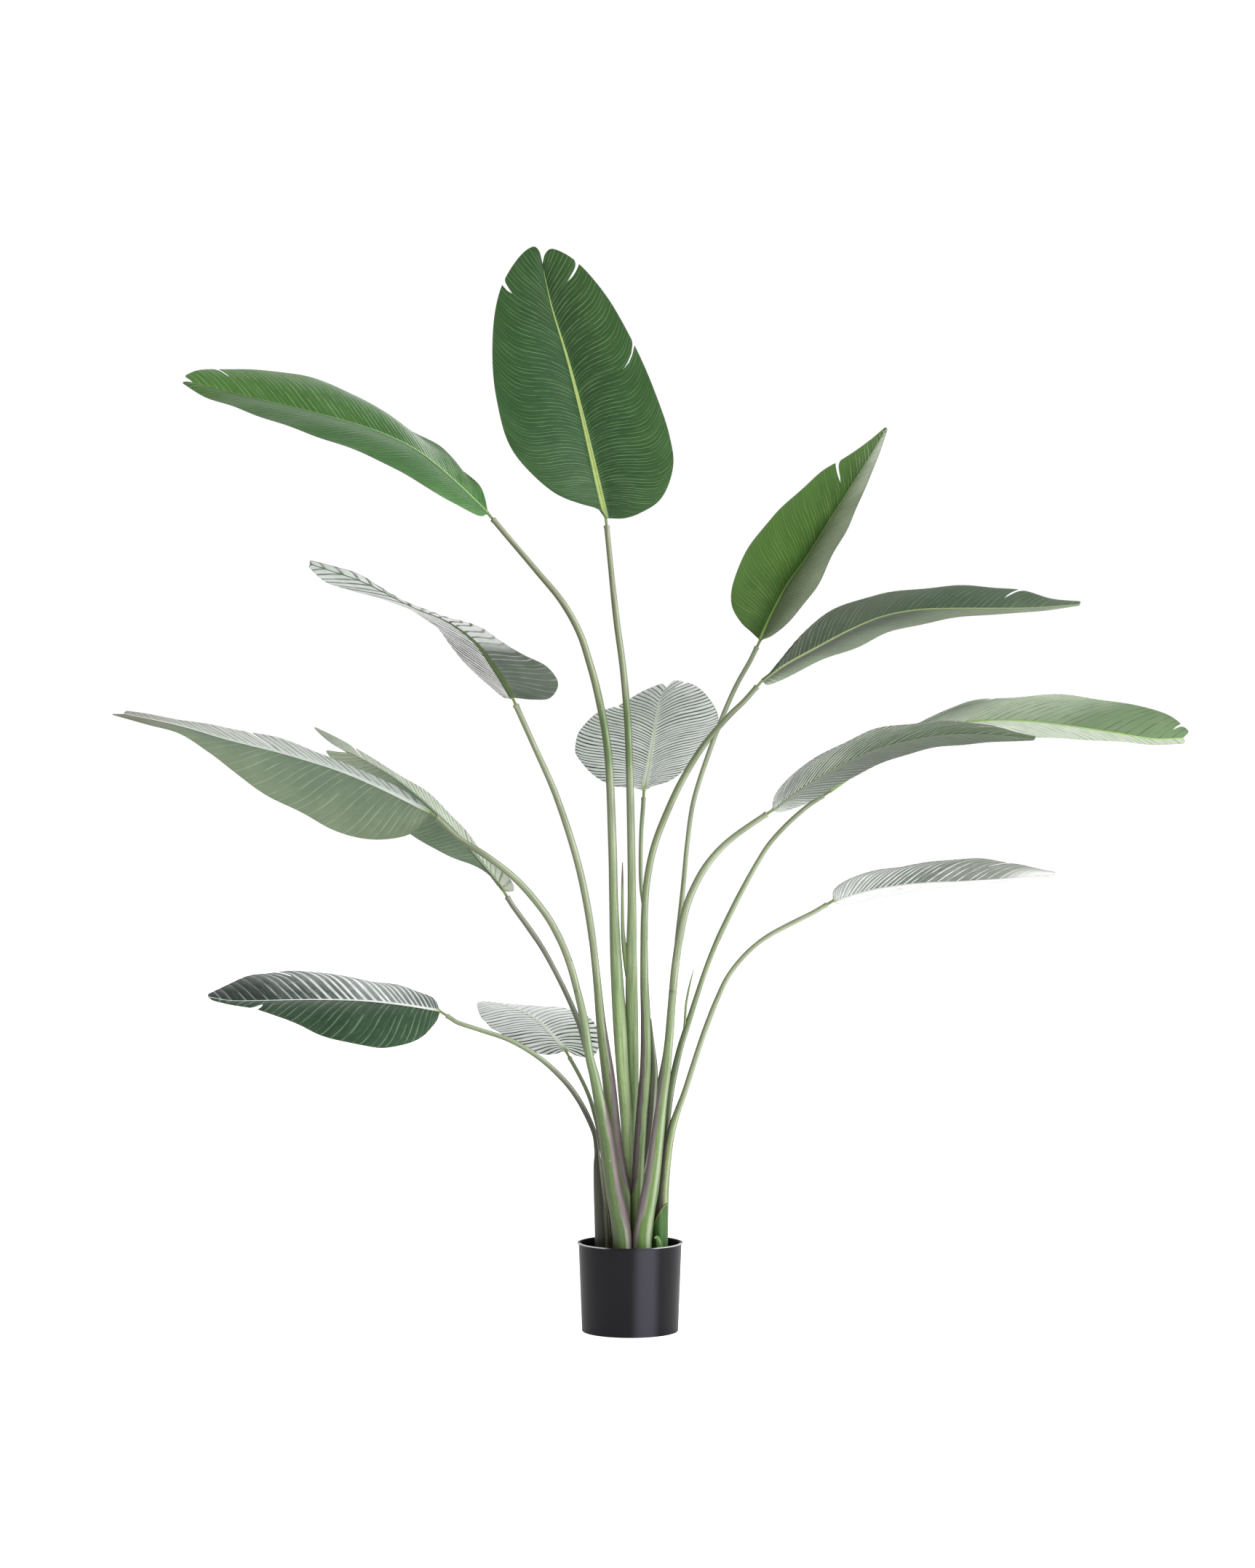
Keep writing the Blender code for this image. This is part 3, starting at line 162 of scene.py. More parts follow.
# Leaves: how strongly the veins of the left and right halves lean towards the tip, how far they bow, and, where it
# isn't the usual CUP, how deep the blade is cupped as a share of its half width. Then the midrib from base to tip,
# and the left and right edges from near the base to the tip, seen from the upper side with the tip up. A slit is
# (side, share of the edge's length at which it starts, share of the half blade that it cuts, width at the edge).
CUP = 0.06
LEAVES = {
    "leaf_01": {
        "lean": (1.5, 1.5), "bow": 1.8,
        "rib": [(-40, 30, 1338), (-82, 40, 1519), (-104, 48, 1603), (-130, 60, 1689), (-145, 70, 1757)],
        "left": [(-58, 24, 1359), (-91, 12, 1367), (-133, 6, 1387), (-194, 8, 1452), (-220, 16, 1538),
                 (-226, 30, 1640), (-213, 46, 1717), (-187, 60, 1764), (-168, 70, 1783), (-157, 72, 1787),
                 (-149, 72, 1781)],
        "right": [(-10, 22, 1338), (16, 16, 1347), (50, 8, 1371), (70, 6, 1423), (64, 10, 1473), (37, 18, 1554),
                  (2, 30, 1632), (-40, 45, 1705), (-84, 58, 1757), (-112, 66, 1777), (-132, 72, 1783),
                  (-141.5, 72, 1776)],
        "slits": [("right", 0.61, 0.25, 3.5), ("left", 0.83, 0.15, 6), ("right", 0.89, 0.45, 5)]},
    "leaf_02": {
        "lean": (1.7, 1.7), "bow": 0.8,
        "rib": [(-235, 30, 1346), (-298, 28, 1406), (-349, 24, 1447), (-408, 20, 1477), (-481, 14, 1501),
                (-554, 8, 1520), (-629, 2, 1538), (-722, -4, 1562)],
        "left": [(-246, 12, 1341), (-290, -30, 1363), (-335, -60, 1388), (-390, -80, 1422), (-463, -95, 1454),
                 (-526, -98, 1477), (-599, -85, 1502), (-648, -65, 1521), (-700, -35, 1538), (-741, -12, 1563)],
        "right": [(-248, 60, 1390), (-283, 92, 1422), (-312, 110, 1454), (-371, 122, 1488), (-452, 118, 1540),
                  (-522, 105, 1568), (-592, 80, 1581), (-660, 50, 1583), (-713, 25, 1582), (-737, 8, 1572)],
        "slits": [("right", 0.9, 0.45, 5)]},
    "leaf_03": {
        "lean": (1.33, 2.8), "bow": 0.5, "cup": 0.012,
        "rib": [(-194, 0, 1041), (-228, -2, 1095), (-253, -4, 1130), (-299, -8, 1166), (-360, -12, 1192),
                (-439, -18, 1232), (-528, -24, 1262)],
        "left": [(-160, -16, 1038), (-133, -30, 1041), (-120, -44, 1064), (-137, -56, 1090), (-176, -70, 1111),
                 (-216, -85, 1136), (-253, -96, 1158), (-320, -104, 1180), (-376, -102, 1200.5), (-443, -86, 1242),
                 (-492, -60, 1258), (-530, -28, 1268)],
        "right": [(-206, 22, 1040), (-230, 48, 1060), (-269, 70, 1094), (-292, 84, 1124), (-333, 92, 1171),
                  (-380, 90, 1198), (-430, 78, 1212), (-463, 64, 1219), (-499, 42, 1231), (-530, 6, 1257)],
        "slits": [("left", 0.8, 0.4, 6), ("right", 0.85, 0.5, 6)]},
    "leaf_04": {
        "lean": (2.3, 1.5), "bow": 0.5,
        "rib": [(-329, -30, 852), (-401, -42, 888), (-473, -50, 919), (-570, -54, 949), (-666, -56, 973),
                (-743, -58, 995), (-835, -60, 1014)],
        "left": [(-344, -2, 868), (-372, 30, 886), (-425, 56, 914), (-487, 72, 938), (-546, 78, 963),
                 (-613, 66, 981), (-690, 44, 995), (-743, 18, 1004), (-787, -14, 1012), (-832, -48, 1019)],
        "right": [(-338, -26, 838), (-362, -18, 817), (-410, -12, 808), (-449, -12, 811), (-487, -14, 823),
                  (-536, -20, 850), (-594, -30, 878), (-652, -40, 919), (-692, -48, 950), (-743, -58, 982),
                  (-800, -64, 998), (-856, -66, 1014)],
        "slits": [("left", 0.62, 0.35, 7)]},
    "leaf_05": {
        "lean": (1.8, 1.15), "bow": 0.4,
        "rib": [(-209, 50, 723), (-265, 85, 794), (-329, 115, 860), (-391, 135, 910), (-430, 143, 933),
                (-462, 149, 950)],
        "left": [(-192, 70, 722), (-196, 86, 738), (-242, 140, 784), (-281, 170, 832), (-319, 195, 871),
                 (-353, 208, 897), (-406, 214, 928), (-458, 200, 961), (-522, 165, 993)],
        "right": [(-218, 54, 735), (-240, 62, 756), (-305, 82, 784), (-360, 102, 816), (-415, 120, 858),
                  (-463, 134, 905), (-502, 144, 955)],
        "slits": [("left", 0.84, 0.6, 8)]},
    "leaf_06": {
        "lean": (1.7, 1.7), "bow": 0.5,
        "rib": [(-313, -50, 524), (-361, -54, 532), (-432, -60, 540), (-488, -64, 542), (-545, -68, 542),
                (-602, -71, 541), (-659, -74, 541), (-694, -76, 547)],
        "left": [(-318, -62, 510), (-328, -82, 497), (-341, -100, 484), (-367, -122, 471), (-403, -140, 465),
                 (-432, -146, 468), (-474, -146, 475), (-511, -138, 487), (-545, -125, 502), (-580, -108, 517),
                 (-618, -92, 528), (-660, -84, 536), (-690, -79, 543)],
        "right": [(-322, -30, 543), (-347, -2, 555), (-382, 26, 566), (-432, 44, 574), (-474, 50, 581),
                  (-511, 48, 588), (-557, 36, 589), (-596, 16, 586), (-622, -4, 583), (-659, -38, 568),
                  (-697, -72, 550)],
        "slits": [("right", 0.69, 0.35, 8), ("left", 0.83, 0.5, 10)]},
    "leaf_07": {
        "lean": (1.5, 1.5), "bow": 0.7,
        "rib": [(-106, 100, 459), (-130, 155, 486), (-152, 215, 508), (-180, 275, 524), (-215, 325, 534),
                (-246, 356, 539)],
        "left": [(-122, 96, 454), (-144, 102, 454), (-165, 114, 463), (-190, 134, 475), (-209, 160, 486),
                 (-226, 200, 497), (-240, 250, 510), (-248, 300, 523), (-251, 352, 538)],
        "right": [(-86, 104, 450), (-64, 122, 450), (-54, 150, 462), (-52, 195, 488), (-66, 242, 511),
                  (-97, 290, 526), (-140, 330, 532), (-188, 352, 534), (-242, 362, 541)],
        "slits": [("right", 0.8, 0.35, 6)]},
    "leaf_08": {
        "lean": (1.5, 1.5), "bow": 0.8,
        "rib": [(23, 100, 888), (31, 155, 926), (38, 225, 970), (46, 300, 1018), (51, 345, 1041), (60, 370, 1056)],
        "left": [(4, 96, 893), (-24, 98, 895), (-61, 112, 915), (-86, 140, 945), (-88, 180, 965), (-80, 220, 988),
                 (-53, 270, 1014), (-11, 315, 1031), (25, 350, 1052), (54, 376, 1064)],
        "right": [(40, 98, 896), (60, 104, 902), (86, 124, 920), (116, 165, 956), (142, 225, 992), (143, 268, 1014),
                  (126, 310, 1043), (102, 340, 1062), (74, 372, 1069)],
        "slits": [("left", 0.75, 0.25, 6), ("right", 0.93, 0.6, 8)]},
    "leaf_09": {
        "lean": (1.7, 1.7), "bow": 0.7,
        "rib": [(215, 60, 1136), (232, 66, 1174), (258, 74, 1224), (289, 82, 1268), (336, 94, 1344),
                (378, 104, 1411), (424, 114, 1487)],
        "left": [(200, 46, 1150), (184, 32, 1165), (170, 18, 1190), (168, 8, 1215), (176, 2, 1246), (198, 4, 1290),
                 (235, 18, 1338), (274, 34, 1375), (316, 54, 1413), (354, 76, 1436), (396, 98, 1465),
                 (423, 112, 1488)],
        "right": [(230, 46, 1141), (246, 26, 1152), (262, 6, 1167), (282, -12, 1190), (305, -18, 1220),
                  (325, -12, 1260), (349, 8, 1304), (372, 36, 1350), (386, 62, 1385), (404, 86, 1426),
                  (425, 110, 1486)],
        "slits": [("left", 0.78, 0.6, 7)]},
    "leaf_10": {
        "lean": (2, 1.42), "bow": 0.4,
        "rib": [(218, -10, 1069), (251, -11, 1093), (305, -11, 1123), (359, -10, 1152), (413, -8, 1175),
                (467, -6, 1186), (530, -3, 1189), (600, 0, 1189), (665, 3, 1190), (742, 6, 1196)],
        "left": [(226, 16, 1062), (244, 42, 1068), (284, 70, 1088), (323, 88, 1106), (377, 100, 1126),
                 (430, 100, 1150), (506, 92, 1168), (580, 74, 1178), (665, 40, 1183), (744, 9, 1194)],
        "right": [(236, -30, 1083), (254, -60, 1106), (290, -92, 1150), (341, -108, 1189), (406, -112, 1209),
                  (467, -108, 1219), (532, -96, 1225), (590, -76, 1223), (644, -50, 1218), (694, -24, 1204),
                  (745, 0, 1199)],
        "slits": [("right", 0.81, 0.7, 9)]},
    "leaf_11": {
        "lean": (2.1, 2.1), "bow": 0.4,
        "rib": [(236, -30, 856), (278, -34, 889), (340, -38, 927), (396, -40, 953), (443, -40, 967),
                (512, -38, 980), (590, -34, 981), (668, -30, 974)],
        "left": [(246, -6, 852), (278, 20, 862), (317, 42, 880), (349, 54, 901), (396, 62, 924), (443, 62, 944),
                 (500, 52, 958), (559, 34, 965), (620, 6, 969), (668, -24, 971)],
        "right": [(238, -52, 876), (262, -82, 908), (302, -112, 938), (359, -134, 969), (409, -142, 989),
                  (480, -140, 999), (535, -126, 1001), (587, -100, 996), (634, -66, 984), (670, -36, 976)],
        "slits": [("right", 0.84, 0.6, 9)]},
    "leaf_12": {
        "lean": (1.9, 1.9), "bow": 0.4,
        "rib": [(329, 70, 886), (401, 78, 936), (461, 82, 972), (527, 84, 996), (590, 84, 1004), (653, 82, 1003),
                (722, 78, 995), (806, 74, 982), (863, 70, 973), (912, 66, 974)],
        "left": [(342, 98, 893), (366, 118, 909), (390, 134, 926), (437, 156, 947), (480, 167, 962),
                 (530, 175, 970), (600, 176, 974), (668, 170, 975), (740, 154, 973), (806, 130, 969),
                 (860, 100, 964), (916, 72, 966)],
        "right": [(335, 48, 904), (366, 16, 938), (420, -6, 976), (482, -18, 1001), (554, -24, 1032),
                  (620, -24, 1040), (700, -18, 1045), (769, -4, 1038), (839, 20, 1026), (890, 42, 1010),
                  (922, 62, 984)],
        "slits": [("right", 0.48, 0.2, 4), ("right", 0.97, 0.5, 5)]},
    "leaf_13": {
        "lean": (1.9, 1.9), "bow": 0.5,
        "rib": [(335, 40, 706), (385, 46, 722), (439, 50, 732), (492, 53, 737), (546, 55, 739), (626, 57, 744),
                (700, 58, 750)],
        "left": [(346, 66, 700), (376, 96, 704), (412, 118, 712), (466, 134, 722), (520, 138, 730), (580, 126, 736),
                 (642, 98, 741), (700, 62, 747)],
        "right": [(336, 16, 722), (361, -14, 741), (412, -40, 756), (455, -50, 763), (492, -54, 768),
                  (538, -50, 774), (577, -38, 774), (619, -16, 769), (662, 18, 760), (702, 52, 752)],
        "slits": [("right", 0.76, 0.55, 9)]},
}

# Stems: the foot's true place in the filling and its radius, as (x, y, radius), then the stem's middle from just
# above the pot to just below the leaf, as (across, away, up, radius)
STEMS = {
    "stem_01": ((4, 44, 10.5), [
        (2, 44, 247, 10.5), (3.5, 38, 400, 10.8), (3, 31, 506, 10.6), (2.2, 30, 604, 9.4), (3, 30, 702, 7.1),
        (0.7, 30, 860, 6.4), (-3.5, 30, 994, 6), (-10.8, 30, 1082, 5.6), (-23.2, 30, 1176, 5.3),
        (-33.2, 30, 1270, 4.4)]),
    "stem_02": ((-6, 19, 10), [
        (-2, 18, 238, 10), (-5, 17, 330, 10), (-11.8, 20, 421, 10.6), (-17, 20, 506, 11.4), (-23, 27, 604, 9.8),
        (-26.8, 29, 698, 7.5), (-29.2, 30, 800, 7.1), (-37.5, 31, 960, 6.5), (-54.1, 32, 1051, 6.2),
        (-67, 32, 1099, 5.9), (-83, 32, 1147, 5.6), (-112, 32, 1199, 5.3), (-153, 31, 1249, 4.7),
        (-202.2, 31, 1307, 4.4)]),
    "stem_03": ((-12, -6, 9.5), [
        (-9.8, -9, 160, 10.6), (-8.8, -8, 228, 10.6), (-14.8, -6, 258, 10.6), (-20.3, -6, 288, 10.6),
        (-24, -6, 313, 10.6), (-27.8, -6, 346, 10.8), (-33, -6, 392, 11), (-36, -6, 418, 10.8),
        (-40.8, -6, 452, 9.8), (-48, -5, 506, 8), (-54.5, -5, 575, 6.6), (-63, -4, 649, 6), (-74.9, -3, 719, 5.9),
        (-90, -2, 782, 5.7), (-123.5, -1, 883, 5.2), (-159, 0, 963, 4.6)]),
    "stem_04": ((-14, -45, 15.5), [
        (-12.8, -45, 150, 15.5), (-19.2, -44, 195, 15), (-26.6, -42, 232, 13.7), (-32.2, -40, 269, 12.6),
        (-37.3, -37, 306, 12), (-43.8, -34, 343, 11), (-51, -32, 379, 9.4), (-59, -31, 418, 8.3),
        (-66.4, -30, 447, 7.3), (-76.5, -30, 512, 6.8), (-87.6, -30, 560, 6.2), (-100.4, -30, 605, 6),
        (-116, -30, 643, 5.8), (-138, -30, 682, 5.6), (-185.9, -30, 739, 5.4), (-235, -30, 778, 5.2),
        (-286, -30, 811, 5)]),
    "stem_05": ((-37, 23, 6.6), [
        (-39.5, 24, 280, 6.6), (-47, 26, 340, 5.8), (-53.5, 27, 380, 5.5), (-60.5, 28, 420, 5.2),
        (-73.8, 30, 468, 4.9), (-82.5, 31, 500, 4.7), (-96.8, 33, 535, 4.5), (-120.4, 36, 584, 4.3),
        (-143.9, 40, 627, 4.5), (-167.6, 44, 662, 4.4), (-194.5, 48, 699, 4.1)]),
    "stem_06": ((-45.5, -4, 12.5), [
        (-45.5, -4, 152, 12.5), (-47.5, -4, 195, 11.5), (-50, -4, 230, 10), (-52, -5, 255, 8.4),
        (-53.3, -5, 274, 6.8), (-54, -5, 288, 4.8), (-55, -6, 300, 4.4), (-58, -8, 321, 4.3), (-70, -12, 351, 4.6),
        (-86.4, -18, 381, 4.6), (-105.8, -24, 407, 4.6), (-146.2, -34, 445, 4.3), (-196, -41, 475.5, 4.1),
        (-246.2, -46, 493, 3.9), (-285.2, -49, 506, 3.8)]),
    "stem_07": ((-30, 48, 5), [
        (-38, 54, 240, 4.6), (-50, 64, 320, 4), (-57.5, 71, 351, 3.6), (-64.5, 78, 376, 3.5),
        (-74.1, 85, 400, 3.4), (-89.5, 93, 430, 3.4)]),
    "stem_08": ((12, 70, 5.2), [
        (16, 70, 300, 5.2), (23, 71, 420, 4.8), (25.5, 73, 520, 4.2), (24.5, 75, 610, 3.6), (24.8, 77, 660, 3.4),
        (22.8, 79, 694, 3.2), (19, 81, 722, 3), (17.6, 85, 750, 3.2), (18.6, 90, 820, 3.4), (21.4, 96, 860, 3.5)]),
    "stem_09": ((25, 52, 6), [
        (34, 52, 300, 6), (49, 50, 400, 5.6), (60, 49, 460, 5.2), (67, 48, 537, 4.8), (73.5, 47, 598, 4.5),
        (80, 46, 660, 4.2), (84.5, 46, 700, 4), (88.4, 46, 739, 3.8), (94.3, 47, 800, 3.7), (104.3, 48, 868, 3.8),
        (133, 51, 958, 4), (162.1, 54, 1032, 3.9), (179.1, 56, 1068, 3.9), (198.4, 58, 1102, 3.9)]),
    "stem_10": ((15, -6, 9.5), [
        (11.8, -4, 160, 10.7), (12.2, -6, 230, 10.3), (19, -6, 348, 9.8), (25.5, -6, 433, 9.2),
        (25.8, -6, 506, 8.2), (23.5, -6, 579, 6.9), (24.3, -6, 697, 5.6), (29.7, -6, 751, 5.6), (41, -6, 800, 5.5),
        (64.5, -6, 860, 5.4), (87.2, -7, 907, 5.3), (122, -8, 963, 5), (162.6, -9, 1010.5, 4.6),
        (188, -10, 1035, 4.3)]),
    "stem_11": ((21, -45, 15), [
        (20.3, -45, 150, 15.7), (26.5, -44, 195, 14.4), (33.4, -43, 232, 13.6), (39.2, -41, 269, 12),
        (43.6, -39, 306, 11), (48.2, -37, 343, 10), (53, -35, 382, 8.6), (58.8, -33, 420, 7.8), (62, -32, 455, 7.5),
        (66, -31, 500, 6.8), (68.7, -31, 537, 6.5), (74.5, -30, 598, 6.5), (83.9, -30, 659, 6.3),
        (93.3, -30, 698, 6.1), (105.4, -30, 728, 5.6), (121.8, -30, 758, 5.5), (142.6, -30, 785, 5.2),
        (165.5, -30, 807, 4.8), (195.4, -30, 829, 4.5)]),
    "stem_12": ((46, 31, 6.5), [
        (54, 31, 280, 6.5), (65, 30, 382, 6.2), (73, 30, 424, 5.8), (83, 30, 465, 5.4), (95.5, 31, 504, 5),
        (109.3, 33, 547, 4.5), (123.4, 36, 589, 4.3), (140.5, 40, 633, 4.4), (160.6, 45, 676, 4.4),
        (183.9, 49, 722, 4.2), (207.8, 53, 765, 3.9), (229.2, 56, 799, 3.8), (260, 60, 833, 3.8),
        (295.6, 66, 864, 3.8)]),
    "stem_13": ((52, 6, 10), [
        (49.6, 8, 150, 12.8), (51.2, 8, 200, 12), (53.8, 7, 232, 10.2), (58.2, 8, 269, 8.6), (63.4, 9, 306, 7.6),
        (70, 11, 335, 6.6), (79, 13, 362, 5.4), (89.2, 14, 389, 4.9), (101.2, 17, 426.5, 4.7),
        (119.4, 20, 481.5, 4.7), (131.3, 22, 514, 4.6), (144.7, 25, 547, 4.4), (159.6, 27, 578, 4.2),
        (177.4, 30, 603, 4.1), (201.2, 32, 628, 3.9), (229.4, 34, 649, 3.8), (261.7, 36, 666.5, 3.8),
        (304.6, 38, 688, 3.7)]),
}

# What grows out of a stem's side, from a root inside the stem to the tip, as (across, away, up, radius). Two are
# young rolled leaves, and the one on stem_10 is the free edge of its sheath.
SIDE_SHOOTS = {
    "stem_01": [(3, 29, 550, 6), (-5, 31, 600, 5.6), (-9.8, 32, 632, 4.2), (-11.7, 32, 652, 3.1),
                (-12.5, 32, 698, 2.3), (-12.5, 32, 742, 1.7), (-12.5, 32, 769, 0.6)],
    "stem_10": [(13.5, -5, 225, 3), (26, -4, 290, 7), (34, -2, 350, 8), (37.8, 0, 405, 8), (39, 1, 432, 6.4),
                (37.2, 1, 465, 4), (34.5, 0, 512, 0.6)],
    "stem_12": [(86, 31, 470, 3), (89.5, 30, 495, 2.4), (90.5, 29, 509, 2.2), (92.3, 27, 535, 2),
                (97.2, 25, 562, 1.8), (104.4, 24, 592, 0.6)],
}

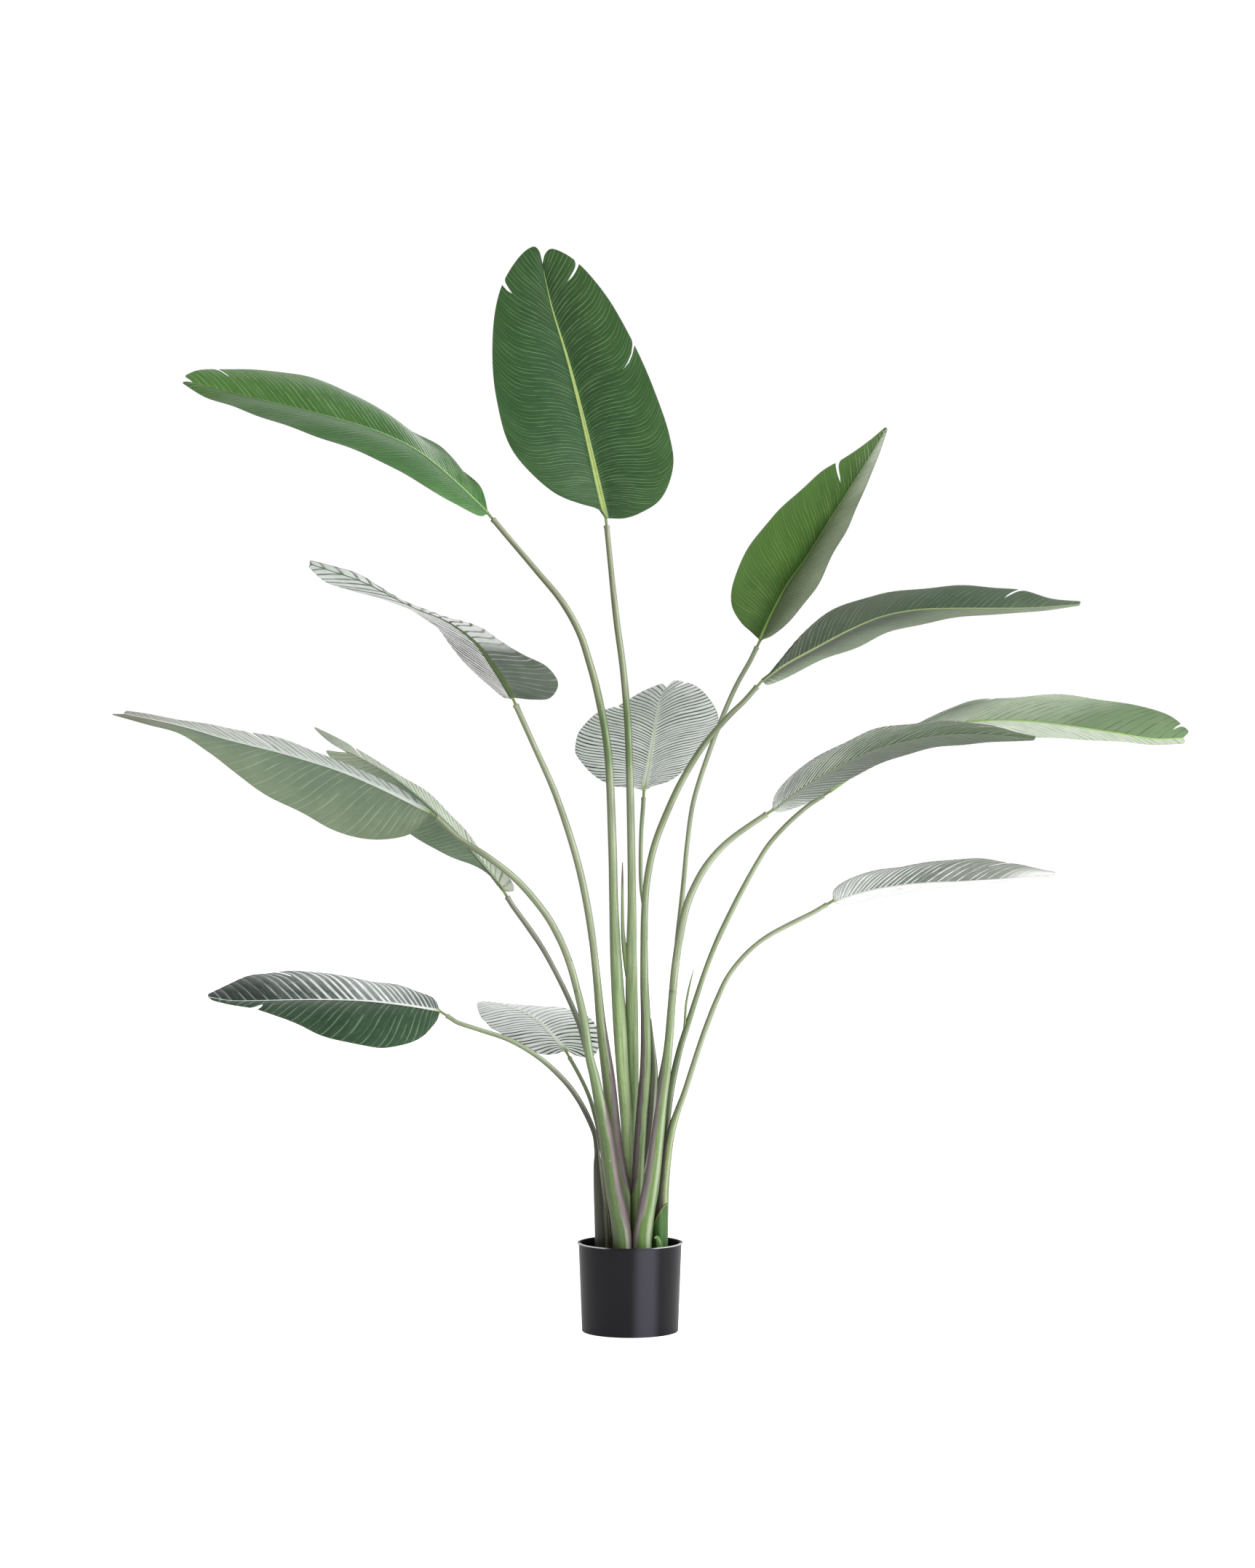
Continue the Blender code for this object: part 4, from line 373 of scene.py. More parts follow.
# How each blade looks on the side that faces the viewer: number and depth of its pleats, half width and colour of
# its midrib at the base, then each half at shares of the edge from base to tip, as (share, width of the line along
# each vein from 0 to 1, colour between the veins, colour along the veins). "edges" tints a half towards its edge,
# as (colour, strength).
LEAF_LOOKS = {
    "leaf_01": {
        "shown": "upper", "pleats": (84, 0.2), "rib": (6.6, (168, 186, 112)),
        "left": [(0, 0.12, (62, 92, 60), (122, 150, 112)), (0.25, 0.12, (58, 88, 54), (116, 146, 104)),
                 (0.5, 0.10, (46, 80, 46), (96, 132, 84)), (1, 0.10, (46, 76, 42), (104, 134, 90))],
        "right": [(0, 0.14, (56, 88, 54), (128, 158, 112)), (0.5, 0.10, (50, 82, 48), (108, 142, 92)),
                  (1, 0.12, (50, 80, 44), (120, 146, 102))],
        "edges": {"left": ((66, 102, 54), 0.3), "right": ((66, 102, 52), 0.4)}},
    # leaf_02: the pale veins on its right half near 0.42 of its edge are a painted glare streak
    "leaf_02": {
        "shown": "upper", "pleats": (74, 0.3), "rib": (3, (160, 198, 136)),
        "left": [(0, 0.10, (96, 140, 86), (150, 182, 136)), (0.4, 0.06, (66, 108, 58), (104, 142, 90)),
                 (0.7, 0.06, (66, 106, 56), (104, 140, 88)), (1, 0.10, (80, 116, 60), (120, 152, 92))],
        "right": [(0, 0.12, (84, 132, 72), (154, 188, 138)), (0.30, 0.14, (72, 116, 60), (170, 198, 156)),
                  (0.42, 0.34, (70, 110, 60), (226, 240, 220)), (0.54, 0.16, (66, 108, 54), (130, 164, 112)),
                  (1, 0.10, (84, 128, 62), (134, 166, 102))]},
    # leaf_03: the white between its veins, on the left half from 0.38 of its edge and on the right half up to 0.65,
    # is painted glare
    "leaf_03": {
        "shown": "under", "pleats": (40, 1.2), "rib": (11, (98, 116, 80)),
        "left": [(0, 0.12, (110, 122, 108), (150, 160, 146)), (0.22, 0.15, (112, 124, 110), (158, 167, 154)),
                 (0.32, 0.20, (104, 113, 102), (186, 192, 184)), (0.38, 0.24, (236, 240, 236), (142, 148, 140)),
                 (0.50, 0.28, (250, 251, 250), (104, 110, 102)), (0.66, 0.30, (255, 255, 255), (116, 122, 114)),
                 (0.85, 0.30, (240, 243, 240), (120, 130, 120)), (1, 0.24, (216, 224, 216), (118, 130, 120))],
        "right": [(0, 0.60, (255, 255, 255), (20, 22, 18)), (0.5, 0.64, (255, 255, 255), (12, 12, 10)),
                  (0.65, 0.46, (255, 255, 255), (84, 90, 84)), (1, 0.30, (226, 232, 226), (112, 124, 114))]},
    # leaf_04: the pale grey of its left half is painted sheen
    "leaf_04": {
        "shown": "under", "pleats": (36, 0.5), "rib": (3.4, (214, 222, 214)),
        "left": [(0, 0.30, (188, 198, 188), (128, 142, 130)), (0.4, 0.26, (200, 207, 200), (132, 144, 134)),
                 (0.65, 0.26, (212, 216, 210), (140, 150, 140)), (0.85, 0.26, (186, 192, 182), (130, 138, 128)),
                 (1, 0.20, (160, 156, 148), (118, 112, 104))],
        "right": [(0, 0.05, (124, 140, 116), (170, 184, 160)), (0.5, 0.04, (118, 138, 114), (158, 174, 150)),
                  (0.8, 0.04, (128, 144, 122), (158, 172, 150)), (1, 0.10, (144, 140, 128), (116, 110, 100))],
        "edges": {"right": ((132, 146, 112), 0.4)}},
    # leaf_05: its right half is painted lighter towards the tip, standing in for the light it loses in leaf_04's
    # shade
    "leaf_05": {
        "shown": "under", "pleats": (46, 0.8), "rib": (3, (160, 178, 150)),
        "left": [(0, 0.20, (176, 182, 168), (130, 142, 122)), (0.3, 0.30, (214, 222, 204), (124, 138, 112)),
                 (0.5, 0.28, (222, 230, 214), (144, 162, 132)), (0.8, 0.25, (208, 216, 200), (144, 156, 136)),
                 (1, 0.20, (186, 194, 176), (140, 150, 130))],
        "right": [(0, 0.15, (120, 136, 114), (160, 174, 154)), (0.5, 0.10, (108, 128, 104), (140, 156, 134)),
                  (0.75, 0.10, (134, 150, 128), (112, 126, 106)), (1, 0.12, (172, 182, 160), (134, 144, 122))]},
    # leaf_06: the pale band across its right half, from about 0.22 to 0.58 of its edge, is painted glare
    "leaf_06": {
        "shown": "upper", "pleats": (30, 0.8), "rib": (3.6, (240, 243, 241)),
        "left": [(0, 0.14, (64, 86, 66), (126, 150, 124)), (0.3, 0.12, (56, 82, 58), (116, 142, 112)),
                 (0.6, 0.11, (52, 76, 54), (108, 132, 108)), (1, 0.12, (60, 78, 62), (126, 142, 128))],
        "right": [(0, 0.34, (98, 108, 102), (226, 230, 228)), (0.22, 0.40, (98, 110, 104), (246, 248, 247)),
                  (0.42, 0.52, (136, 146, 142), (255, 255, 255)), (0.58, 0.42, (96, 108, 102), (254, 254, 254)),
                  (0.72, 0.22, (68, 82, 74), (206, 214, 210)), (0.85, 0.12, (52, 62, 56), (120, 132, 124)),
                  (1, 0.16, (64, 74, 68), (142, 152, 146))]},
    # leaf_07: the white between its veins is painted glare over the green of its upper side
    "leaf_07": {
        "shown": "upper", "pleats": (26, 1.4), "rib": (5.2, (226, 234, 220)),
        "left": [(0, 0.48, (250, 252, 250), (36, 62, 44)), (0.5, 0.42, (255, 255, 255), (52, 82, 62)),
                 (0.8, 0.32, (255, 255, 255), (120, 140, 128)), (1, 0.24, (255, 255, 255), (180, 192, 184))],
        "right": [(0, 0.50, (240, 246, 240), (38, 66, 42)), (0.32, 0.50, (244, 249, 244), (32, 62, 38)),
                  (0.5, 0.38, (255, 255, 255), (64, 92, 70)), (0.65, 0.26, (255, 255, 255), (170, 180, 172)),
                  (1, 0.20, (255, 255, 255), (204, 210, 204))]},
    # leaf_08: the pale grey-white between its veins is painted glare over the green of its upper side
    "leaf_08": {
        "shown": "upper", "pleats": (42, 1.2), "rib": (7.2, (200, 210, 190)),
        "left": [(0, 0.48, (212, 220, 214), (22, 32, 24)), (0.45, 0.46, (212, 220, 214), (34, 46, 36)),
                 (0.7, 0.40, (214, 222, 214), (58, 72, 58)), (1, 0.34, (226, 231, 227), (110, 122, 112))],
        "right": [(0, 0.42, (236, 241, 237), (40, 50, 42)), (0.45, 0.40, (234, 239, 234), (38, 50, 40)),
                  (0.8, 0.38, (234, 239, 234), (58, 70, 60)), (1, 0.34, (240, 244, 240), (104, 116, 106))]},
    # leaf_09: the pale grey of its right half and that half's pale edge are a painted reflection and painted light
    "leaf_09": {
        "shown": "upper", "pleats": (74, 0.4), "rib": (6.4, (166, 200, 106)),
        "left": [(0, 0.08, (74, 98, 56), (118, 146, 92)), (0.25, 0.08, (72, 102, 52), (116, 146, 84)),
                 (0.5, 0.08, (70, 104, 46), (116, 148, 80)), (0.8, 0.10, (60, 90, 42), (112, 140, 84)),
                 (1, 0.18, (72, 90, 58), (158, 174, 138))],
        "right": [(0, 0.12, (112, 126, 96), (150, 162, 134)), (0.4, 0.16, (144, 158, 126), (98, 116, 82)),
                  (0.7, 0.18, (176, 188, 158), (118, 136, 96)), (1, 0.18, (246, 251, 236), (168, 184, 144))],
        "edges": {"left": ((68, 102, 42), 0.6), "right": ((186, 198, 172), 0.4)}},
    "leaf_10": {
        "shown": "under", "pleats": (56, 0.5), "rib": (4, (160, 176, 126)),
        "left": [(0, 0.24, (108, 106, 98), (206, 208, 200)), (0.25, 0.16, (102, 110, 98), (70, 80, 70)),
                 (0.6, 0.12, (106, 118, 102), (78, 92, 78)), (0.85, 0.12, (152, 162, 144), (106, 118, 102)),
                 (1, 0.10, (136, 146, 130), (98, 112, 96))],
        "right": [(0, 0.20, (122, 124, 112), (160, 166, 152)), (0.12, 0.26, (90, 98, 84), (146, 154, 140)),
                  (0.3, 0.16, (80, 94, 76), (130, 142, 122)), (0.45, 0.08, (92, 106, 86), (124, 138, 116)),
                  (0.65, 0.08, (88, 108, 86), (130, 146, 122)), (1, 0.08, (102, 120, 98), (134, 150, 128))],
        "edges": {"left": ((196, 212, 182), 0.6)}},
    # leaf_11: the near-white veins near its base are painted sheen
    "leaf_11": {
        "shown": "under", "pleats": (48, 0.6), "rib": (2.6, (128, 140, 116)),
        "left": [(0, 0.36, (208, 213, 206), (252, 253, 251)), (0.22, 0.30, (130, 138, 128), (206, 210, 202)),
                 (0.45, 0.20, (118, 126, 116), (164, 170, 160)), (0.65, 0.12, (112, 124, 108), (138, 148, 132)),
                 (1, 0.10, (110, 126, 102), (130, 144, 122))],
        "right": [(0, 0.46, (190, 194, 188), (255, 255, 255)), (0.22, 0.40, (94, 102, 90), (240, 243, 238)),
                  (0.45, 0.34, (96, 108, 90), (214, 220, 208)), (0.65, 0.20, (90, 106, 84), (170, 182, 162)),
                  (1, 0.10, (96, 114, 88), (138, 152, 128))]},
    "leaf_12": {
        "shown": "under", "pleats": (62, 0.4), "rib": (4.4, (168, 202, 122)),
        "left": [(0, 0.10, (232, 238, 228), (170, 186, 158)), (1, 0.15, (208, 220, 198), (140, 162, 124))],
        "right": [(0, 0.12, (238, 243, 236), (176, 192, 166)), (0.35, 0.14, (226, 234, 220), (146, 162, 132)),
                  (0.62, 0.12, (204, 218, 194), (138, 158, 122)), (0.85, 0.10, (124, 146, 112), (98, 122, 84)),
                  (1, 0.10, (118, 142, 104), (92, 116, 78))]},
    # leaf_13: the white of its left half and along its right half's veins is painted glare
    "leaf_13": {
        "shown": "under", "pleats": (34, 0.8), "rib": (2.4, (206, 212, 204)),
        "left": [(0, 0.12, (255, 255, 255), (224, 230, 226)), (1, 0.10, (250, 251, 248), (224, 228, 220))],
        "right": [(0, 0.42, (184, 190, 185), (255, 255, 255)), (0.25, 0.42, (156, 164, 158), (255, 255, 255)),
                  (0.45, 0.30, (118, 126, 118), (255, 255, 255)), (0.62, 0.14, (112, 120, 110), (240, 242, 240)),
                  (0.85, 0.10, (144, 148, 138), (222, 225, 220)), (0.94, 0.10, (238, 240, 236), (252, 252, 252)),
                  (1, 0.10, (255, 255, 255), (236, 238, 234))],
        "edges": {"right": ((142, 150, 140), 0.5)}},
}

# The side that the photograph doesn't show
HIDDEN_TONES = {
    "upper": [(0, 0.10, (50, 82, 50), (104, 142, 94))],
    "under": [(0, 0.10, (126, 144, 124), (86, 104, 86))],
}
HIDDEN_RIBS = {"upper": (158, 176, 104), "under": (140, 160, 116)}
NO_TINT = ((0, 0, 0), 0.0)
NECK_TONE = (150, 168, 112)

# How each stem looks: its colour at heights, and the dark margin of its sheath: the side that it lies on, its
# colour, and how far across the stem it reaches at heights, from -1 (all across) to 1 (none)
SAGE = (158, 170, 134)
OLIVE = (142, 149, 114)
NO_MARGIN = (1, (0, 0, 0), [(0, 9.0)])
STEM_LOOKS = {
    # stem_01 below about 720 mm and stem_02 below about 600 mm are painted lighter, standing in for the light they
    # lose in shade
    "stem_01": ([(100, (118, 148, 88)), (350, (150, 184, 116)), (500, (176, 206, 142)), (620, (184, 208, 154)),
                 (720, (176, 196, 146)), (840, SAGE), (905, SAGE), (940, (110, 138, 84)), (1015, (104, 132, 78)),
                 (1060, (148, 158, 122)), (1200, OLIVE), (1400, OLIVE)], NO_MARGIN),
    "stem_02": ([(100, (130, 164, 96)), (300, (192, 222, 152)), (420, (184, 214, 146)), (520, (168, 198, 134)),
                 (600, (154, 180, 126)), (850, SAGE), (900, SAGE), (940, (106, 134, 80)), (1000, (102, 130, 76)),
                 (1050, (142, 156, 112)), (1150, (152, 160, 124)), (1250, OLIVE), (1400, OLIVE)], NO_MARGIN),
    "stem_03": ([(100, (112, 146, 80)), (225, (116, 146, 84)), (300, (112, 124, 84)), (480, (134, 154, 106)),
                 (650, SAGE), (1100, SAGE)],
                (1, (98, 86, 88), [(212, 1.6), (228, 0.7), (250, 0.1), (300, -0.1), (420, 0.3), (500, 0.6),
                                   (560, 1.2)])),
    "stem_04": ([(100, (94, 122, 66)), (300, (108, 134, 80)), (360, (122, 150, 94)), (450, (142, 166, 116)),
                 (600, SAGE), (760, SAGE), (800, (130, 144, 110))],
                (1, (118, 104, 106), [(130, 0.85), (150, 0.65), (190, 0.3), (240, 0.25), (300, 0.3), (350, 0.45),
                                      (370, 0.6), (390, 1.5)])),
    "stem_05": ([(100, (110, 120, 84)), (420, (128, 146, 102)), (500, (108, 118, 94)), (580, (130, 134, 114)),
                 (800, (140, 144, 124))], NO_MARGIN),
    "stem_06": ([(100, (60, 62, 50)), (280, (72, 74, 60)), (300, (76, 78, 64)), (360, (86, 88, 76)),
                 (400, (100, 102, 88)), (430, (126, 132, 106)), (460, (152, 168, 128)), (600, (152, 164, 130))],
                (1, (132, 122, 100), [(130, 0.86), (240, 0.8), (285, 0.5), (295, 1.6)])),
    "stem_07": ([(100, (100, 112, 80)), (350, (118, 130, 96)), (450, (132, 148, 106))], NO_MARGIN),
    "stem_08": ([(100, (104, 122, 84)), (500, (120, 138, 100)), (900, (146, 162, 124))], NO_MARGIN),
    "stem_09": ([(100, (110, 126, 84)), (600, (134, 150, 108)), (850, SAGE), (1200, SAGE)], NO_MARGIN),
    "stem_10": ([(100, (122, 158, 84)), (240, (148, 178, 110)), (350, (148, 184, 110)), (440, (144, 174, 108)),
                 (540, (138, 160, 110)), (900, (142, 154, 114)), (950, (118, 134, 94)), (1020, (132, 142, 110))],
                (-1, (100, 86, 90), [(212, 1.6), (228, 0.7), (250, 0.1), (300, 0), (420, 0.1), (520, 0.35),
                                     (580, 0.7), (620, 1.5)])),
    "stem_11": ([(100, (104, 142, 66)), (300, (126, 158, 90)), (500, (144, 164, 116)), (600, SAGE), (900, SAGE)],
                (-1, (132, 120, 122), [(130, 0.9), (150, 0.6), (190, 0.3), (250, 0.2), (360, 0.3), (440, 0.7),
                                       (480, 1.5)])),
    "stem_12": ([(100, (78, 98, 66)), (450, (104, 124, 84)), (550, (142, 158, 114)), (900, SAGE)], NO_MARGIN),
    "stem_13": ([(100, (128, 150, 82)), (300, (140, 162, 98)), (400, SAGE), (700, SAGE)],
                (-1, (78, 72, 68), [(150, -0.25), (250, 0), (330, 0.5), (380, 1.6)])),
}
SHOOT_LOOKS = {
    # The shoot on stem_01 is painted lighter up to 720 mm, standing in for the light it loses in shade between the
    # stems
    "stem_01": [(550, (176, 206, 142)), (640, (176, 204, 140)), (720, (160, 184, 122)), (740, (132, 110, 80)),
                (780, (120, 92, 66))],
    "stem_10": [(290, (80, 66, 68)), (360, (92, 92, 80)), (430, (112, 124, 98)), (520, (128, 148, 108))],
    "stem_12": [(460, (126, 150, 96)), (600, (140, 164, 106))],
}

# Marks of moulding: pin holes as (stem, height, how far across the stem from -1 to 1), and rings as heights
PIN_HOLES = [
    ("stem_02", 712, 0.5), ("stem_01", 698, 0.52), ("stem_10", 700, 0.19), ("stem_10", 661, -0.25),
    ("stem_10", 636, 0.5), ("stem_01", 592, 0.48), ("stem_10", 523, 0.6), ("stem_01", 487, 0.72),
    ("stem_10", 434, 0.62), ("stem_10", 328, 0.8), ("stem_02", 327, 0.78), ("stem_04", 339, -0.01),
    ("stem_11", 316, 0.68), ("stem_02", 296, -0.45), ("stem_11", 291, 0.28), ("stem_04", 276, 0.04),
    ("stem_13", 264, 0.41),
]
PIN_RADIUS = 0.0007
PIN_HALO = (200, 208, 176)
PIN_DARK = (58, 54, 44)
RINGS = {"stem_01": [930], "stem_02": [900], "stem_04": [560, 610], "stem_11": [530, 559]}
RING_HALF = 0.0008
RING_DEPTH = 0.0003
RING_SECTION = (-1, -0.4, 0.4, 1)

# Cut sheath: a short stub beside the right-hand sheath, cut on a slant that rises to the right
CUT_SHEATH_PLACE = (0.050, -0.020)
CUT_SHEATH_RADIUS = 0.0118
CUT_SHEATH_TOP = 0.193
CUT_SHEATH_SLANT = 1.6
CUT_SHEATH_SIDES = 48
CUT_SHEATH_BEND = 0.13
CUT_SHEATH_FLOOR = 0.127
CUT_SHEATH_STATIONS = 12
CUT_SHEATH_CURVE = 0.35
CUT_SHEATH_RIM = [(1.0, -0.002), (1.0, 0.0), (0.93, 0.0004), (0.86, 0.0)]
CUT_RIM = (190, 168, 128)
SHEATH_TONES = [(52, 92, 42), (84, 124, 62)]

# Curled bud: a small hooked shoot in front of the cut sheath, as (across, away, up, radius)
BUD_RADIUS = 0.0030
BUD_SIDES = 20
BUD_STATIONS = 30
BUD_FOOT_STATIONS = 12
BUD_LEAVES_FILLING = FILLING_TOP + 0.006
BUD_TONES = [(92, 142, 70), (166, 190, 134)]
BUD_PATH = [(46, -42, 128, 3.6), (47.5, -43, 139, 4.2), (46.5, -45, 148, 4), (43.5, -47, 152.5, 2.8),
            (40, -48, 151, 1.2)]

# Light: lamps as (name, place, size, power), and the strengths of the sky and of the floor
LAMPS = [("right", (2.6, -2.4, 2.4), 2.2, 120), ("behind", (-0.6, 3.2, 3.4), 3.0, 60)]
LAMPS_AIM = (0, 0, 0.8)
WORLD_STRENGTH = 0.42
FLOOR_SIZE = 40
FLOOR_COLOUR = (0.9, 0.9, 0.9, 1)
FLOOR_GLOW = 0.30
FLOOR_SEEN = 1.5
WHITE = (1, 1, 1, 1)


def linear(*screen):
    """A colour seen on a screen, each part from 0 to 255, as the share of light that a surface gives back."""
    shares = [part / 255 for part in screen]
    return tuple(((share + 0.055) / 1.055) ** 2.4 if share > 0.04 else share / 12.92 for share in shares)


def metres(millimetres):
    return np.array(millimetres, float) / 1000


def placed(across, away, up):
    """The true place of a point that the front view shows across and up from the pot's foot."""
    spread = 1 + away / EYE_DISTANCE
    return np.array([across * spread, away, EYE_HEIGHT + (up - EYE_HEIGHT) * spread])


def route(stations):
    """The true place and radius of each station in a table, as (x, y, z, radius)."""
    return [(*placed(across, away, up), radius) for across, away, up, radius in metres(stations)]


def unit(vectors):
    return vectors / np.linalg.norm(vectors, axis=-1, keepdims=True)


def eased(low, high, values):
    """0 below low, 1 above high, and smooth between."""
    share = np.clip((np.asarray(values) - low) / (high - low), 0, 1)
    return share * share * (3 - 2 * share)


def read_at(wanted, known, rows):
    """Rows of values that are known at some places, read at others."""
    return np.stack([np.interp(wanted, known, column) for column in np.asarray(rows).T], -1)


def all_round(sides):
    """Turns that go once round, with the first place again at the end."""
    return np.linspace(0, 2 * math.pi, sides + 1)


def right_and_front(along):
    """The ways to the right and to the front of something that runs along a way."""
    right = unit(np.cross([0.0, 1.0, 0.0], along))
    return right, np.cross(right, along)


class Line:
    """A smooth line through given places, read by its share of the length, from 0 to 1."""

    SAMPLES = 12
    NEARBY = 0.01

    def __init__(self, places):
        knots = np.array(places, float)
        steps = np.sqrt(np.linalg.norm(np.diff(knots[:, :3], axis=0), axis=1))
        slopes = np.gradient(knots, np.concatenate([[0], np.cumsum(steps)]), axis=0)
        fine = []
        for i, step in enumerate(steps):
            for t in np.arange(self.SAMPLES) / self.SAMPLES:
                start = (2 * t**3 - 3 * t**2 + 1) * knots[i] + (t**3 - 2 * t**2 + t) * step * slopes[i]
                end = (3 * t**2 - 2 * t**3) * knots[i + 1] + (t**3 - t**2) * step * slopes[i + 1]
                fine.append(start + end)
        self.fine = np.array(fine + [knots[-1]])
        run = np.linalg.norm(np.diff(self.fine[:, :3], axis=0), axis=1)
        self.run = np.concatenate([[0], np.cumsum(run)])
        self.length = self.run[-1]

    def at(self, share):
        return read_at(np.asarray(share) * self.length, self.run, self.fine)

    def direction(self, share):
        share = np.asarray(share, float)
        ahead, behind = self.at(np.minimum(share + self.NEARBY, 1)), self.at(np.maximum(share - self.NEARBY, 0))
        return unit(ahead[..., :3] - behind[..., :3])

    def stations(self, step):
        """Places and radii along the line, about a step apart."""
        return self.at(self.shares(step))

    def shares(self, step):
        return np.linspace(0, 1, round(self.length / step) + 1)


class Leaf:
    """One blade: a midrib and two edges, with the sheet drawn between them along the lateral veins."""

    STEADY = (0.14, 0.86)

    def __init__(self, lean, bow, rib, left, right, slits, cup=CUP):
        self.lean = dict(zip(("left", "right"), lean))
        self.bow, self.cup = bow, cup
        rib_places = [placed(*place) for place in metres(rib)]
        self.rib = Line(rib_places)
        self.edges = {side: Line(rib_places[:1] + [placed(*place) for place in metres(edge)])
                      for side, edge in (("left", left), ("right", right))}
        self.slits = [(side, share, depth, width / 1000) for side, share, depth, width in slits]

    def share_on(self, side, row):
        """The share of one edge where a row of the sheet ends. Rows are numbered by the right edge's share."""
        return row ** (self.lean["right"] / self.lean[side])

    def row_of(self, side, edge):
        """The row that ends at a share of one edge."""
        return edge ** (self.lean[side] / self.lean["right"])

    def rib_at(self, edge, side="right"):
        """The rib's point that the vein which ends at a share of the edge starts from."""
        return self.rib.at(edge ** self.lean[side])

    def forward(self, edge, side):
        """The way along the rib at that point."""
        return self.rib.direction(edge ** self.lean[side])

    def side(self, edge, side):
        """The way from the rib towards an edge, steadied near the base and the tip, where the edges meet."""
        steady = np.clip(edge, *self.STEADY)
        return unit(self.edges[side].at(steady) - self.rib_at(steady, side))

    def upward(self, edge, side):
        """The direction that the upper side of one half faces."""
        steady = np.clip(edge, *self.STEADY)
        facing = np.cross(self.side(steady, side), self.forward(steady, side))
        return unit(facing if side == "right" else -facing)

    def drawn_to(self, edge, bank, reach, side):
        """The share of the edge that each point is drawn towards: rows part at a slit and crowd beside it."""
        moved = edge + 0 * reach
        length = self.edges[side].length
        for slit_side, at, depth, width in self.slits:
            if slit_side == side:
                opening = eased(0, 0.5, (reach - 1 + depth) / depth) * width / 2 / length
                away = edge - at
                towards = np.where(np.abs(away) < NOT_ZERO, bank, np.sign(away))
                moved += towards * opening * np.exp(-np.abs(away) * length / (SLIT_CROWDING * width))
        return np.clip(moved, 0, 1)

    def lobed(self, edge, bank, reach, half_width, side):
        """Rounds the corners of the sheet: at the tip, and at each slit on the bank nearer the tip."""
        length = self.edges[side].length
        corners = [(1.0, -1, TIP_ROUND)]
        corners += [(at, 1, SLIT_ROUND) for slit_side, at, _, _ in self.slits if slit_side == side]
        edge = edge + 0 * reach
        reach = reach + 0 * edge
        for at, beyond, radius in corners:
            radius = np.minimum(radius, ROUND_MOST * half_width)
            along = (edge - at) * length * beyond
            inward = (1 - reach) * half_width
            near = (along > -SAME_PLACE) & (along < radius) & (inward < radius)
            if at < 1:
                near &= (along > SAME_PLACE) | (bank > 0)
            a, b = radius - along, radius - inward
            shrink = np.where(near, np.maximum(a, b) / np.maximum(np.hypot(a, b), NOT_ZERO), 1.0)
            edge = np.where(near, at + beyond * (radius - a * shrink) / length, edge)
            reach = np.where(near, 1 - (radius - b * shrink) / half_width, reach)
        return edge, reach

    def half(self, rows, bank, share, side, pleat, rib_half):
        """Points on one half of the sheet, with each point's distance from the rib's middle and from the edge.

        A column's share is -1 at the rib's middle, 0 at its side and 1 at the edge. pleat lifts each row off the
        sheet.
        """
        row_edge, bank, share = self.share_on(side, rows)[:, None], bank[:, None], share[None, :]
        straight = self.edges[side].at(row_edge) - self.rib_at(row_edge, side) + self.side(row_edge, side) * EDGE_ROLL
        half_width = np.linalg.norm(straight, axis=-1)
        rib_half = np.minimum(rib_half * (1 - RIB_TAPER * row_edge ** self.lean[side]), RIB_MOST * half_width)
        inward = rib_half / half_width
        reach = np.where(share < 0, inward * (1 + share), inward + (1 - inward) * share)
        edge, reach = self.lobed(row_edge, bank, reach, half_width, side)
        drawn = self.edges[side].at(self.drawn_to(edge, bank, reach, side))
        across = drawn - self.rib_at(edge, side) + self.side(edge, side) * EDGE_ROLL
        cup = self.cup * half_width * 4 * reach * (1 - reach)
        wave = EDGE_WAVE_DEPTH * reach**3 * np.sin(2 * EDGE_WAVES * math.pi * edge) * np.sin(math.pi * edge)
        back = half_width * reach**3 * (1 - reach) + VEIN_HOOK * np.exp(-reach * half_width / VEIN_HOOK_REACH)
        back *= self.bow * np.sin(math.pi * row_edge) * eased(0, 0.1, row_edge)
        pleated = eased(*PLEAT_RISE, reach) * (1 - PLEAT_CALMED * eased(*PLEAT_CALM, reach)) * eased(0, 0.1, edge)
        lift = cup + wave + pleat[:, None] * pleated * eased(0, 0.04, 1 - edge)
        places = self.rib_at(edge, side) + across * reach[..., None] - self.forward(edge, side) * back[..., None]
        return places + self.upward(edge, side) * lift[..., None], reach * half_width, (1 - reach) * half_width


class Wire:
    """One socket of a finish. Arithmetic on it adds Math nodes."""

    def __init__(self, finish, socket):
        self.finish = finish
        self.socket = socket

    def maths(self, operation, *values):
        return self.finish.node("ShaderNodeMath", {"operation": operation}, *values)

    def __add__(self, other):
        return self.maths("ADD", self, other)

    def __sub__(self, other):
        return self.maths("SUBTRACT", self, other)

    def __rsub__(self, other):
        return self.maths("SUBTRACT", other, self)

    def __mul__(self, other):
        return self.maths("MULTIPLY", self, other)

    __radd__ = __add__
    __rmul__ = __mul__


class Nodes:
    """The nodes of a material or of the world."""

    def __init__(self, owner):
        owner.use_nodes = True
        self.tree = owner.node_tree

    def node(self, kind, settings, *values, output=0, **named):
        """Adds a node with its settings, then the values or links of its sockets, and gives one of its outputs."""
        made = self.tree.nodes.new(kind)
        for setting, value in settings.items():
            setattr(made, setting, value)
        for socket, value in [*enumerate(values), *named.items()]:
            self.feed(made.inputs[socket], value)
        return Wire(self, made.outputs[output])

    def feed(self, socket, value):
        if isinstance(value, Wire):
            self.tree.links.new(value.socket, socket)
        else:
            socket.default_value = value


